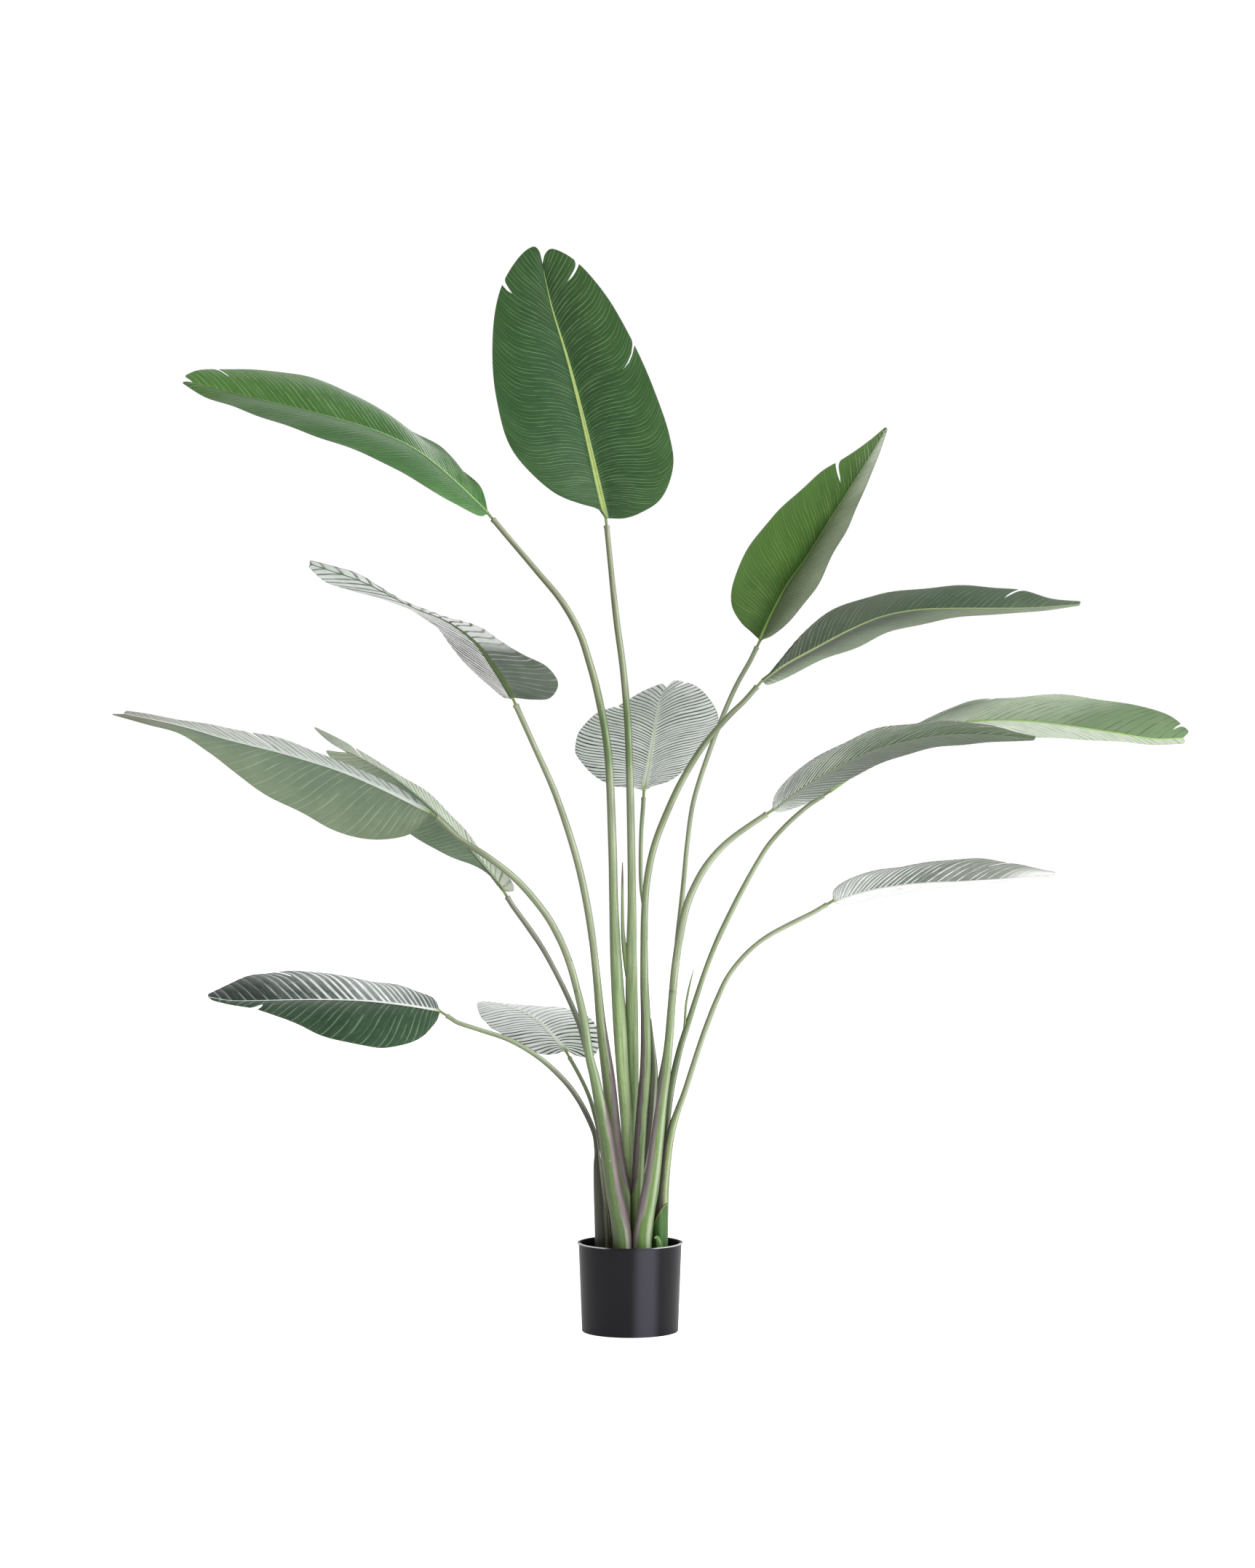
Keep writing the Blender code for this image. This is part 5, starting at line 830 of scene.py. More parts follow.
class Finish(Nodes):
    """A material: its shader, and the nodes that feed it."""

    COLOURS = slice(6, 8)
    MIXED_COLOUR = 2

    def __init__(self, name, **fixed):
        self.material = bpy.data.materials.new(name)
        super().__init__(self.material)
        self.shader = self.tree.nodes["Principled BSDF"]
        for socket, value in fixed.items():
            self.shader.inputs[socket.replace("_", " ").title().replace("Ior", "IOR")].default_value = value

    def attribute(self, name, output="Fac"):
        return self.node("ShaderNodeAttribute", {"attribute_name": name}, output=output)

    def place(self):
        return self.node("ShaderNodeTexCoord", {}, output="Object")

    def noise(self, vector, scale, detail=2.0):
        return self.node("ShaderNodeTexNoise", {}, Vector=vector, Scale=scale, Detail=detail, output="Fac")

    def height(self, vector):
        return self.node("ShaderNodeSeparateXYZ", {}, vector, output="Z")

    def dot(self, vector, way):
        return self.node("ShaderNodeVectorMath", {"operation": "DOT_PRODUCT"}, vector, way, output="Value")

    def distance(self, vector, place):
        return self.node("ShaderNodeVectorMath", {"operation": "DISTANCE"}, vector, tuple(place), output="Value")

    def vector(self, x, y, z):
        return self.node("ShaderNodeCombineXYZ", {}, x, y, z)

    def ramp(self, value, low, high):
        """0 where the value is at low, 1 where it is at high, and smooth between."""
        settings = {"interpolation_type": "SMOOTHSTEP"}
        return self.node("ShaderNodeMapRange", settings, Value=value, **{"From Min": low, "From Max": high})

    def cosine(self, angle):
        return angle.maths("COSINE", angle)

    def mixed(self, share, first, second, way="MIX"):
        """Two colours mixed by a share of the second."""
        settings = {"data_type": "RGBA", "blend_type": way}
        made = self.node("ShaderNodeMix", settings, share, output=self.MIXED_COLOUR)
        for socket, colour in zip(made.socket.node.inputs[self.COLOURS], (first, second)):
            self.feed(socket, colour if isinstance(colour, Wire) else (*linear(*colour), 1))
        return made

    def shaded(self, colour, value):
        """A colour made darker or lighter by a value."""
        return self.mixed(1.0, colour, self.vector(value, value, value), "MULTIPLY")

    def bump(self, height, distance):
        made = self.node("ShaderNodeBump", {}, Strength=1.0, Distance=distance, Height=height)
        self.feed(self.shader.inputs["Normal"], made)

    def colour(self, value):
        self.feed(self.shader.inputs["Base Color"], value)

    def roughness(self, value):
        self.feed(self.shader.inputs["Roughness"], value)


def leaf_finish(side, roughness, cord):
    """A blade's upper side or underside: a line along each vein, finer cords between, midrib and edge line."""
    finish = Finish("leaf_" + side, specular_ior_level=0.14)
    blade, vein, rib_tone = (finish.attribute(side + "_" + part, "Color") for part in ("blade", "vein", "rib"))
    phase = finish.attribute("phase")
    from_rib = finish.attribute("from_rib")
    line_width = finish.attribute(side + "_line")
    place = finish.place()
    turn = 2 * math.pi

    # Noise: stretched along the veins, in bands of a few pleats, in patches, and fine grain
    along_vein = finish.vector(phase * 1.37 + 0.5, from_rib * 26, 0.0)
    bands = finish.noise(finish.vector(phase * 0.35 + 0.3, from_rib * 9, 0.0), 1.0)
    patches = finish.noise(place, PATCHES["leaf"])
    grain = finish.noise(place, GRAIN["leaf"])

    # One line to a pleat, more broken where it is thin, and several cords to a pleat
    low = 1 - 2 * line_width
    line = finish.ramp(finish.cosine(phase * turn), low, low * 0.4 + 0.6)
    broken = finish.ramp(finish.noise(along_vein, 1.0), 0.36, 0.6)
    bold = finish.ramp(line_width, 0.1, 0.35)
    line = line * (broken * (0.85 - bold * 0.5) + (0.15 + bold * 0.5))
    cords = finish.cosine(phase * (turn * CORDS_PER_PLEAT))
    threads = finish.ramp(cords, 0.1, 1.0) * finish.ramp(finish.noise(along_vein, 2.3), 0.42, 0.68)
    colour = finish.mixed(finish.ramp(bands, 0.45, 0.8) * 0.4, blade, finish.mixed(0.4, blade, vein))
    colour = finish.mixed(line, colour, vein)
    colour = finish.mixed(threads * cord, colour, vein)
    colour = finish.shaded(colour, patches * 0.36 + grain * 0.12 + 0.74)

    # The midrib with painted shade along its middle, and the brown line round the edge
    rib = finish.attribute("rib")
    # Painted shade along the middle of the midrib
    rib_middle_shade = finish.ramp(rib, 0.16, 0.02) * 0.3
    shade = finish.shaded(rib_tone, 1.06 - rib_middle_shade + (bands - 0.5) * 0.3)
    colour = finish.mixed(finish.ramp(rib, 1.0, 0.8), colour, shade)
    edge_line = finish.ramp(finish.attribute("to_edge"), *EDGE_LINE)
    finish.colour(finish.mixed(edge_line * 0.5, colour, EDGE_BROWN))
    finish.roughness(patches * 0.2 + (roughness - 0.1))
    finish.bump(threads * 0.5 + grain * 0.3, BUMPS["leaf"])
    return finish.material


def stem_finish(pins):
    """A stem: upward streaks, a painted highlight on the right and painted shade on the left, sheath margin, rings,
    pin holes.
    """
    finish = Finish("stem")
    skin, margin = finish.attribute("skin", "Color"), finish.attribute("margin", "Color")
    lateral, frontal, along = (finish.attribute(measure) for measure in ("lateral", "frontal", "along"))
    place = finish.place()
    streaks = finish.noise(finish.vector(lateral * 3.2, frontal * 3.2, along * 14), 1.0)
    blots = finish.noise(finish.vector(lateral * 1.6, frontal * 1.6, along * 34), 1.0, 4.0)
    grain = finish.noise(place, GRAIN["stem"])
    clouds = finish.noise(place, PATCHES["stem"])

    # The skin, with a painted highlight on the right and painted shade on both sides
    colour = finish.mixed(finish.ramp(blots, 0.45, 0.62) * 0.4, skin, finish.shaded(skin, 0.72))
    colour = finish.shaded(colour, finish.ramp(streaks, 0.3, 0.7) * 0.26 + grain * 0.2 + 0.64)
    painted_gleam = finish.ramp(lateral, 0.2, 0.55) * finish.ramp(lateral, 0.95, 0.7) * finish.ramp(streaks, 0.25, 0.6)
    colour = finish.mixed(painted_gleam * 0.45, colour, STEM_PAINTED_HIGHLIGHT)
    colour = finish.mixed(finish.ramp(lateral, 0.0, -0.95) * 0.35, colour, STEM_PAINTED_SHADE)
    # Painted shade on the left side and at the right edge
    left, right = finish.ramp(lateral, -0.1, -0.9) * 0.1, finish.ramp(lateral, 0.8, 1.0) * 0.35
    colour = finish.shaded(colour, 1 - left - right)

    # The sheath's dark margin and its pale lip
    seam = finish.attribute("seam") + (blots - 0.5) * 0.7
    under = finish.shaded(margin, (streaks * 1.1 + 0.45) * (finish.ramp(seam, -0.9, 0.0) * 0.55 + 0.7))
    colour = finish.mixed(finish.ramp(seam, 0.22, -0.14) * 0.94, colour, under)
    lip = finish.ramp(seam, -0.02, 0.05) * finish.ramp(seam, 0.16, 0.08) * finish.ramp(clouds, 0.4, 0.6)
    colour = finish.mixed(lip * 0.12, colour, SHEATH_LIP)

    # Rings, and pin holes with their halos
    colour = finish.shaded(colour, 1 - finish.attribute("ring") * 0.35)
    nearest = 1.0
    for pin in pins:
        from_pin = finish.distance(place, pin)
        nearest = from_pin.maths("MINIMUM", from_pin, nearest)
    halo = finish.ramp(nearest, PIN_RADIUS * 2.2, PIN_RADIUS * 1.4)
    colour = finish.mixed(halo * 0.6, colour, PIN_HALO)
    finish.colour(finish.mixed(finish.ramp(nearest, PIN_RADIUS * 1.2, PIN_RADIUS * 0.8), colour, PIN_DARK))
    finish.roughness(clouds * 0.16 + 0.36)
    finish.bump(streaks * 0.6 + grain * 0.4, BUMPS["stem"])
    return finish.material


def pot_finish():
    """Dark plastic, a soft painted upright highlight right of the front, and painted highlights on the lip beside the
    front.
    """
    finish = Finish("pot", specular_ior_level=0.18)
    place = finish.place()
    grain = finish.noise(place, GRAIN["pot"])
    clouds = finish.noise(place, PATCHES["pot"])
    # Painted highlight: an upright lighter band right of the front
    turn = math.radians(PAINTED_SHEEN_TURN)
    beside = finish.dot(place, (math.cos(turn), math.sin(turn), 0))
    in_front = finish.ramp(finish.dot(place, (math.sin(turn), -math.cos(turn), 0)), 0.0, 0.05)
    painted_sheen = finish.ramp(beside * beside, PAINTED_SHEEN_REACH**2, 0.0)
    colour = finish.mixed(clouds, POT_DARK, POT_LIGHT)
    colour = finish.mixed(painted_sheen * painted_sheen * in_front * PAINTED_SHEEN_STRENGTH, colour, PAINTED_SHEEN)
    # Painted highlight along the front of the lip, to both sides of its middle
    at_lip = finish.ramp(finish.height(place), *(POT_HEIGHT - below for below in LIP_HIGHLIGHT_BAND))
    across = finish.dot(place, (1, 0, 0))
    off_middle = finish.ramp(across * across, *LIP_HIGHLIGHT_BESIDE)
    lip_highlight = at_lip * off_middle * finish.ramp(finish.dot(place, (0, -1, 0)), 0.0, 0.02)
    finish.colour(finish.mixed(lip_highlight * 0.85, colour, LIP_HIGHLIGHT))
    finish.roughness(clouds * 0.1 + grain * 0.1 + 0.27)
    finish.bump(grain, BUMPS["pot"])
    return finish.material


def filling_finish():
    """Dark crumbs of two tones."""
    finish = Finish("filling", roughness=0.95)
    place = finish.place()
    crumbs = finish.node("ShaderNodeTexVoronoi", {}, Vector=place, Scale=CRUMB_SCALE, output="Color")
    colour = finish.mixed(finish.noise(place, PATCHES["filling"]), FILLING_DARK, FILLING_LIGHT)
    finish.colour(finish.mixed(0.35, colour, crumbs, "MULTIPLY"))
    finish.bump(finish.noise(place, GRAIN["filling"]), BUMPS["filling"])
    return finish.material


def plain_finish(name, first, second, roughness):
    """Moulded plastic with soft streaks of a second colour that run upwards, and a tan rim where it is cut."""
    finish = Finish(name)
    stretched = finish.node("ShaderNodeMapping", {}, Vector=finish.place(), Scale=STREAK_SCALES)
    streaks = finish.noise(stretched, 1.0)
    colour = finish.mixed(finish.ramp(streaks, 0.35, 0.65), first, second)
    finish.colour(finish.mixed(finish.attribute("rim") * 0.9, colour, CUT_RIM))
    finish.roughness(streaks * 0.2 + (roughness - 0.1))
    finish.bump(streaks, BUMPS["plain"])
    return finish.material


def start(name, add, **sizes):
    """A new piece begun from one of Blender's primitives, alone in the selection."""
    bpy.ops.object.select_all(action="DESELECT")
    add(**sizes)
    made = bpy.context.object
    made.name = made.data.name = name
    return made


def select_only(pieces):
    """Selects pieces and nothing else, with the first one active."""
    bpy.ops.object.select_all(action="DESELECT")
    for piece in pieces:
        piece.select_set(True)
    bpy.context.view_layer.objects.active = pieces[0]


def in_edit_mode(*steps):
    """Runs edit-mode steps on all of the active piece."""
    bpy.ops.object.mode_set(mode="EDIT")
    bpy.ops.mesh.select_mode(type="VERT")
    bpy.ops.mesh.select_all(action="SELECT")
    for step in steps:
        step()
    bpy.ops.object.mode_set(mode="OBJECT")


def merge_points():
    bpy.ops.mesh.remove_doubles(threshold=MERGE_DISTANCE)


def close_up():
    """Joins the edges of a rolled-up sheet where they meet, and turns its faces outwards."""
    in_edit_mode(merge_points, lambda: bpy.ops.mesh.normals_make_consistent(inside=False))


def give(mesh, name, kind, values):
    """Writes one value or colour for each vertex."""
    made = mesh.attributes.new(name, kind, "POINT")
    values = np.asarray(values, np.float32)
    if kind == "FLOAT_COLOR":
        values = np.concatenate([values, np.ones((*values.shape[:-1], 1), np.float32)], -1)
        made.data.foreach_set("color", values.ravel())
    else:
        made.data.foreach_set("value", values.ravel())


def grid(name, places):
    """A sheet whose vertices are moved to places, an array of rows and columns."""
    rows, columns = places.shape[:2]
    made = start(name, bpy.ops.mesh.primitive_grid_add, x_subdivisions=columns - 1, y_subdivisions=rows - 1,
                 size=2, calc_uvs=False)
    made.data.vertices.foreach_set("co", places.astype(np.float32).ravel())
    made.data.update()
    return made


def finished(piece, node, finish=None, angle=60):
    """Gives a piece its finish, lets it ride on the plant and stand for its CAD node."""
    piece.name = piece.data.name = node + "_fine"
    if finish:
        piece.data.materials.append(finish)
    select_only([piece])
    bpy.ops.object.shade_smooth_by_angle(angle=math.radians(angle))
    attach(piece, "root")
    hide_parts(node)


def pleat_rows(leaf, count, random):
    """The rows of a blade: share of the edge's length, bank of a slit that opens there, and phase of the pleats."""
    widths = 1 + PLEAT_UNEVEN * random.uniform(-1, 1, count)
    joints = np.concatenate([[0], np.cumsum(widths)]) / widths.sum()
    steps = np.arange(1, count * ROWS_PER_PLEAT + 1) / ROWS_PER_PLEAT
    edges = np.interp(steps, np.arange(count + 1), joints)
    edges = edges[leaf.share_on("left", edges) > LEAST_SHARE]
    banks = np.zeros(len(edges))
    for side, share, _, _ in leaf.slits:
        at = leaf.row_of(side, share)
        near = np.abs(edges - at) * leaf.edges["left"].length < SLIT_CLEAR
        edges, banks = np.concatenate([edges[~near], [at, at]]), np.concatenate([banks[~near], [-1, 1]])
    order = np.lexsort((banks, edges))
    edges, banks = edges[order], banks[order]
    return edges, banks, np.interp(edges, joints, np.arange(count + 1))


def into_leaf(name, leaf):
    """The way in which a stem runs into its leaf."""
    top = route(STEMS[name][1][-1:])[0]
    return unit(leaf.rib.at(0.0) - np.array(top[:3]))


def neck_places(leaf, stem, out):
    """The rows of the short round neck between a blade and its stem."""
    way = into_leaf(stem, leaf)
    side = unit(leaf.side(0.0, "right") - leaf.side(0.0, "left"))
    side = unit(side - way * side.dot(way))
    back = np.linspace(1.0, NECK_END, NECK_ROWS)[:, None, None]
    return leaf.rib.at(0.0) - way * NECK_LENGTH * back + side * NECK_HALF_WIDTH * out[None, :, None]


def sheet_thickness(leaf, edges, share, out):
    """How thick each point of the neck and the blade is: round at the neck, and crowned over the midrib."""
    rib = RIB_THICKNESS_BASE + (RIB_THICKNESS_TIP - RIB_THICKNESS_BASE) * edges ** leaf.lean["right"]
    crown = np.sqrt(1 - (1 - np.clip(-share, 0, 1)) ** 2)
    crown = np.concatenate([crown[:0:-1], crown])
    blade = BLADE_THICKNESS + (rib[:, None] - BLADE_THICKNESS) * crown[None, :]
    neck = 2 * NECK_HALF_WIDTH * np.sqrt(np.clip(1 - NECK_FLATNESS * out**2, 0, 1))
    return np.concatenate([np.tile(neck, (NECK_ROWS, 1)), blade])


def whole(left, right, neck_value):
    """One value for each vertex of a leaf, from both halves and the neck."""
    joined = np.concatenate([left[:, :0:-1], left[:, :1], right[:, 1:]], 1)
    return np.concatenate([np.full((NECK_ROWS, *joined.shape[1:]), neck_value), joined])


def half_tones(looks, shown, side, half, leaf, edges, reach):
    """Line width and the colours between and along the veins, for each point of one half seen from one side."""
    stops = looks[half] if shown else HIDDEN_TONES[side]
    tint, strength = looks.get("edges", {}).get(half, NO_TINT) if shown else NO_TINT
    amount = strength * eased(0.35, 1, reach)[..., None]
    shares, known = leaf.share_on(half, edges), [stop[0] for stop in stops]
    width = np.tile(np.interp(shares, known, [stop[1] for stop in stops])[:, None], (1, reach.shape[1]))
    tones = [read_at(shares, known, [linear(*stop[which]) for stop in stops]) for which in (2, 3)]
    return width, *(tone[:, None] * (1 - amount) + np.array(linear(*tint)) * amount for tone in tones)


def write_tones(mesh, looks, leaf, edges, reaches, columns):
    """Writes the colours of both sides of a leaf."""
    from_neck = np.concatenate([np.zeros(NECK_ROWS), eased(0, 0.2, edges)])[:, None, None]
    for side in ("upper", "under"):
        shown = side == looks["shown"]
        left, right = (half_tones(looks, shown, side, half, leaf, edges, reaches[half]) for half in ("left", "right"))
        give(mesh, side + "_line", "FLOAT", whole(left[0], right[0], NECK_LINE))
        give(mesh, side + "_blade", "FLOAT_COLOR", whole(left[1], right[1], NECK_GREY))
        give(mesh, side + "_vein", "FLOAT_COLOR", whole(left[2], right[2], NECK_GREY))
        rib = np.array(linear(*(looks["rib"][1] if shown else HIDDEN_RIBS[side])))
        tone = np.array(linear(*NECK_TONE)) * (1 - from_neck) + rib * from_neck
        give(mesh, side + "_rib", "FLOAT_COLOR", np.tile(tone, (1, columns, 1)))


def cut_open(mesh, rows, columns, cut):
    """Takes the faces out of some rows of a sheet."""
    chosen = np.zeros((rows - 1, columns - 1), bool)
    chosen[cut] = True
    mesh.polygons.foreach_set("select", chosen.ravel())
    mesh.edges.foreach_set("select", np.zeros(len(mesh.edges), bool))
    mesh.vertices.foreach_set("select", np.zeros(len(mesh.vertices), bool))
    bpy.ops.object.mode_set(mode="EDIT")
    bpy.ops.mesh.select_mode(type="FACE")
    bpy.ops.mesh.delete(type="ONLY_FACE")
    bpy.ops.object.mode_set(mode="OBJECT")


def faces_along(mesh, way):
    """Whether the faces in the middle of a sheet turn towards a way."""
    normals = np.zeros(len(mesh.polygons) * 3, np.float32)
    mesh.polygons.foreach_get("normal", normals)
    middle = normals.reshape(-1, 3)[len(mesh.polygons) // 3: len(mesh.polygons) * 2 // 3]
    return (middle @ np.asarray(way)).sum() >= 0


def weigh(piece, thickness):
    """Writes down how thick each point of a sheet will be, as a share of the thickest."""
    group = piece.vertex_groups.new(name="thickness")
    for index, weight in enumerate(np.clip(thickness / RIB_THICKNESS_BASE, 0, 1).ravel()):
        group.add([index], float(weight), "REPLACE")


def thicken(piece):
    """Makes a weighed sheet solid, with the second finish on its lower side and round its edge."""
    solid = piece.modifiers.new("thickness", "SOLIDIFY")
    solid.thickness = RIB_THICKNESS_BASE
    solid.offset = 0
    solid.vertex_group = "thickness"
    solid.material_offset = 1
    solid.material_offset_rim = 1
    bpy.ops.object.modifier_apply(modifier="thickness")
    piece.vertex_groups.clear()


def make_leaf(name, leaf, number, finishes):
    """The sheet is a grid bent onto the blade, pleated, cut along its slits and thickened most at the rib."""
    looks = LEAF_LOOKS[name]
    count, depth = looks["pleats"]
    edges, banks, phase = pleat_rows(leaf, count, np.random.default_rng(number))
    pleat = depth / 1000 * (np.abs(np.sin(math.pi * phase)) - PLEAT_LEVEL) * (1 if looks["shown"] == "upper" else -1)
    share = np.concatenate([np.linspace(-1, 0, RIB_COLUMNS + 1), np.linspace(0, 1, BLADE_COLUMNS + 1)[1:]])
    rib_half = looks["rib"][0] / 1000
    (left, left_out, left_in), (right, right_out, right_in) = (
        leaf.half(edges, banks, share, side, pleat, rib_half) for side in ("left", "right"))
    blade = np.concatenate([left[:, :0:-1], leaf.rib_at(edges)[:, None], right[:, 1:]], 1)
    out = np.linspace(-1, 1, 2 * len(share) - 1)
    places = np.concatenate([neck_places(leaf, "stem_" + name[-2:], out), blade])
    rows, columns = places.shape[:2]
    piece = grid(name, places)
    mesh = piece.data
    give(mesh, "from_rib", "FLOAT", whole(left_out, right_out, 0.0))
    give(mesh, "to_edge", "FLOAT", whole(left_in, right_in, 1.0))
    give(mesh, "phase", "FLOAT", np.tile(np.concatenate([np.zeros(NECK_ROWS), phase])[:, None], (1, columns)))
    in_rib = np.tile(1 + share, (len(edges), 1))
    give(mesh, "rib", "FLOAT", whole(in_rib, in_rib, 0.0))
    reaches = {"left": left_out / (left_out + left_in), "right": right_out / (right_out + right_in)}
    write_tones(mesh, looks, leaf, edges, reaches, columns)
    weigh(piece, sheet_thickness(leaf, edges, share, out))
    cut = np.nonzero(banks == -1)[0] + NECK_ROWS
    if len(cut):
        cut_open(mesh, rows, columns, cut)
    in_edit_mode(merge_points)
    if not faces_along(mesh, leaf.upward(0.5, "right")):
        in_edit_mode(bpy.ops.mesh.flip_normals)
    for finish in finishes:
        mesh.materials.append(finish)
    thicken(piece)
    finished(piece, name)


def tube_places(stations, sides):
    """Rings round stations of (x, y, z, radius), closed at both ends. Also gives how far each point lies to the
    right and to the front of the middle, and how far along it."""
    stations = np.asarray(stations, float)
    centres, radii = stations[:, :3], stations[:, 3]
    along = unit(np.gradient(centres, axis=0))
    right, front = right_and_front(along)
    rises, caps = zip(*TUBE_CAP)
    at_foot, at_top = len(TUBE_FOOT), len(TUBE_CAP)
    last = along[-1] * radii[-1]
    centres = np.concatenate([[centres[0]] * at_foot, centres, [centres[-1] + last * rise for rise in rises]])
    radii = np.concatenate([np.multiply(TUBE_FOOT, radii[0]), radii, np.multiply(caps, radii[-1])])
    right, front = (np.concatenate([[way[0]] * at_foot, way, [way[-1]] * at_top]) for way in (right, front))
    turn = all_round(sides)
    ring = right[:, None] * np.cos(turn)[None, :, None] + front[:, None] * np.sin(turn)[None, :, None]
    run = np.concatenate([[0], np.cumsum(np.linalg.norm(np.diff(centres, axis=0), axis=1))])
    around = np.broadcast_arrays(np.cos(turn), np.sin(turn), run[:, None])
    return centres[:, None] + ring * radii[:, None, None], around


def make_tube(name, stations, sides):
    """A closed tube along stations, with its own measures round and along it written on it."""
    places, around = tube_places(stations, sides)
    piece = grid(name, places)
    for measure, values in zip(("lateral", "frontal", "along"), around):
        give(piece.data, measure, "FLOAT", values)
    close_up()
    return piece


def stem_line(name, leaf):
    """The middle of a stem above the filling with its radius, and the straight end that runs into the leaf's neck."""
    foot, bow = STEMS[name]
    x, y, radius = metres(foot)
    way = into_leaf(name, leaf)
    top = leaf.rib.at(0.0) - way * (NECK_LENGTH + TOUCHING_GAP)
    straight = top - way * NECK_LENGTH
    stations = [(x, y, STEM_LEAVES_FILLING, radius), *route(bow)]
    return Line([*stations, (*straight, stations[-1][3])]), straight, top - way * stations[-1][3] * TUBE_CAP[-1][0]


def share_at(line, height):
    """How far along a line a height is first reached."""
    return line.run[np.argmax(line.fine[:, 2] >= height)] / line.length


def pin_places(leaves):
    """Where each pin hole lies on the front of its stem."""
    places = []
    for name, height, across in PIN_HOLES:
        line = stem_line(name, leaves["leaf_" + name[-2:]])[0]
        height = height / 1000
        share = share_at(line, placed(0, line.at(share_at(line, height))[1], height)[2])
        right, front = right_and_front(line.direction(share))
        centre = line.at(share)
        places.append(centre[:3] + centre[3] * (right * across + front * math.sqrt(1 - across**2)))
    return places


def stem_stations(name, leaf):
    """Where the stem runs: straight up out of its hole, along its bow with its rings, and straight into the neck."""
    line, straight, end = stem_line(name, leaf)
    shares = line.shares(STEM_STEP)
    rings = [share_at(line, height) for height in metres(RINGS.get(name, []))]
    for ring in rings:
        shares = shares[np.abs(shares - ring) * line.length > STEM_STEP / 2]
        shares = np.concatenate([shares, ring + np.array(RING_SECTION) * RING_HALF / line.length])
    shares = np.sort(shares)
    bent = line.at(shares)
    for ring in rings:
        bent[np.abs(shares - ring) * line.length < RING_HALF / 2, 3] -= RING_DEPTH
    x, y, radius = metres(STEMS[name][0])
    foot = [(x, y, z, radius) for z in np.linspace(STEM_FOOT, STEM_LEAVES_FILLING, FOOT_STATIONS)[:-1]]
    top_radius = line.fine[-1, 3]
    collar = [(*(straight + (end - straight) * share), top_radius * (1 + COLLAR_SWELL * eased(0.5, 0.8, share)))
              for share in COLLAR_STATIONS]
    return [*foot, *bent, *collar]


def write_skin(mesh, stops, margin, rings):
    """Writes the colours of a stem or shoot: its skin, the margin of its sheath and its rings."""
    count = len(mesh.vertices)
    places, lateral = np.zeros(count * 3, np.float32), np.zeros(count, np.float32)
    mesh.vertices.foreach_get("co", places)
    mesh.attributes["lateral"].data.foreach_get("value", lateral)
    heights = places.reshape(-1, 3)[:, 2]
    side, tone, line = margin
    known, shares = zip(*line)
    give(mesh, "skin", "FLOAT_COLOR", read_at(heights, metres([stop[0] for stop in stops]),
                                              [linear(*stop[1]) for stop in stops]))
    give(mesh, "seam", "FLOAT", np.interp(heights, metres(known), shares) - lateral * side)
    give(mesh, "margin", "FLOAT_COLOR", np.tile(linear(*tone), (count, 1)))
    give(mesh, "ring", "FLOAT", np.any([np.abs(heights - ring) < RING_HALF / 2 for ring in metres(rings)], 0)
         if rings else np.zeros(count))


def make_stem(name, leaf, finish):
    """A stem with what grows out of its side."""
    stem = make_tube(name, stem_stations(name, leaf), STEM_SIDES)
    stops, margin = STEM_LOOKS[name]
    rings = RINGS.get(name, [])
    write_skin(stem.data, stops, margin, rings)
    if name in SIDE_SHOOTS:
        shoot = make_tube(name + "_shoot", Line(route(SIDE_SHOOTS[name])).stations(STEM_STEP), SHOOT_SIDES)
        write_skin(shoot.data, SHOOT_LOOKS[name], NO_MARGIN, rings)
        select_only([stem, shoot])
        bpy.ops.object.join()
    finished(stem, name, finish)


def round_places(radii, heights, turn):
    """Places round an upright axis: a row for each radius, with its height or its heights all round."""
    radii = np.reshape(radii, (-1, 1))
    return np.stack(np.broadcast_arrays(radii * np.cos(turn), radii * np.sin(turn), heights), -1)


def pot_inside(height):
    """The radius of the pot's inner wall at a height."""
    share = height / POT_HEIGHT
    return POT_BASE_RADIUS + (POT_TOP_RADIUS - POT_BASE_RADIUS) * share - POT_WALL


def rounded(corners, radius, steps=4):
    """A profile with its inner corners rounded."""
    corners = np.array(corners, float)
    out = [corners[0]]
    for before, corner, after in zip(corners, corners[1:], corners[2:]):
        reach = min(radius, 0.45 * np.linalg.norm(before - corner), 0.45 * np.linalg.norm(after - corner))
        start_point, end_point = corner + unit(before - corner) * reach, corner + unit(after - corner) * reach
        for t in np.linspace(0, 1, steps + 1):
            out.append((1 - t) ** 2 * start_point + 2 * t * (1 - t) * corner + t**2 * end_point)
    return np.array(out + [corners[-1]])


def make_pot(finish):
    """The pot is turned: its profile runs from the axis over the inside and the lip to the foot and the underside."""
    lip = POT_HEIGHT - LIP_HEIGHT
    profile = rounded([
        (0, POT_FLOOR), (pot_inside(POT_FLOOR), POT_FLOOR), (pot_inside(POT_HEIGHT) - LIP_INSET, POT_HEIGHT),
        (LIP_RADIUS, POT_HEIGHT), (LIP_RADIUS - LIP_DRAFT, lip), (POT_TOP_RADIUS, lip - LIP_FILLET),
        (POT_BASE_RADIUS, 0), (POT_BASE_RADIUS - FOOT_WIDTH, 0),
        (POT_BASE_RADIUS - FOOT_WIDTH - UNDERSIDE_RISE, UNDERSIDE_RISE), (0, UNDERSIDE_RISE),
    ], POT_ROUNDING)
    piece = grid("pot", round_places(profile[:, 0], profile[:, 1:], all_round(POT_SIDES)))
    close_up()
    finished(piece, "pot", finish, angle=35)


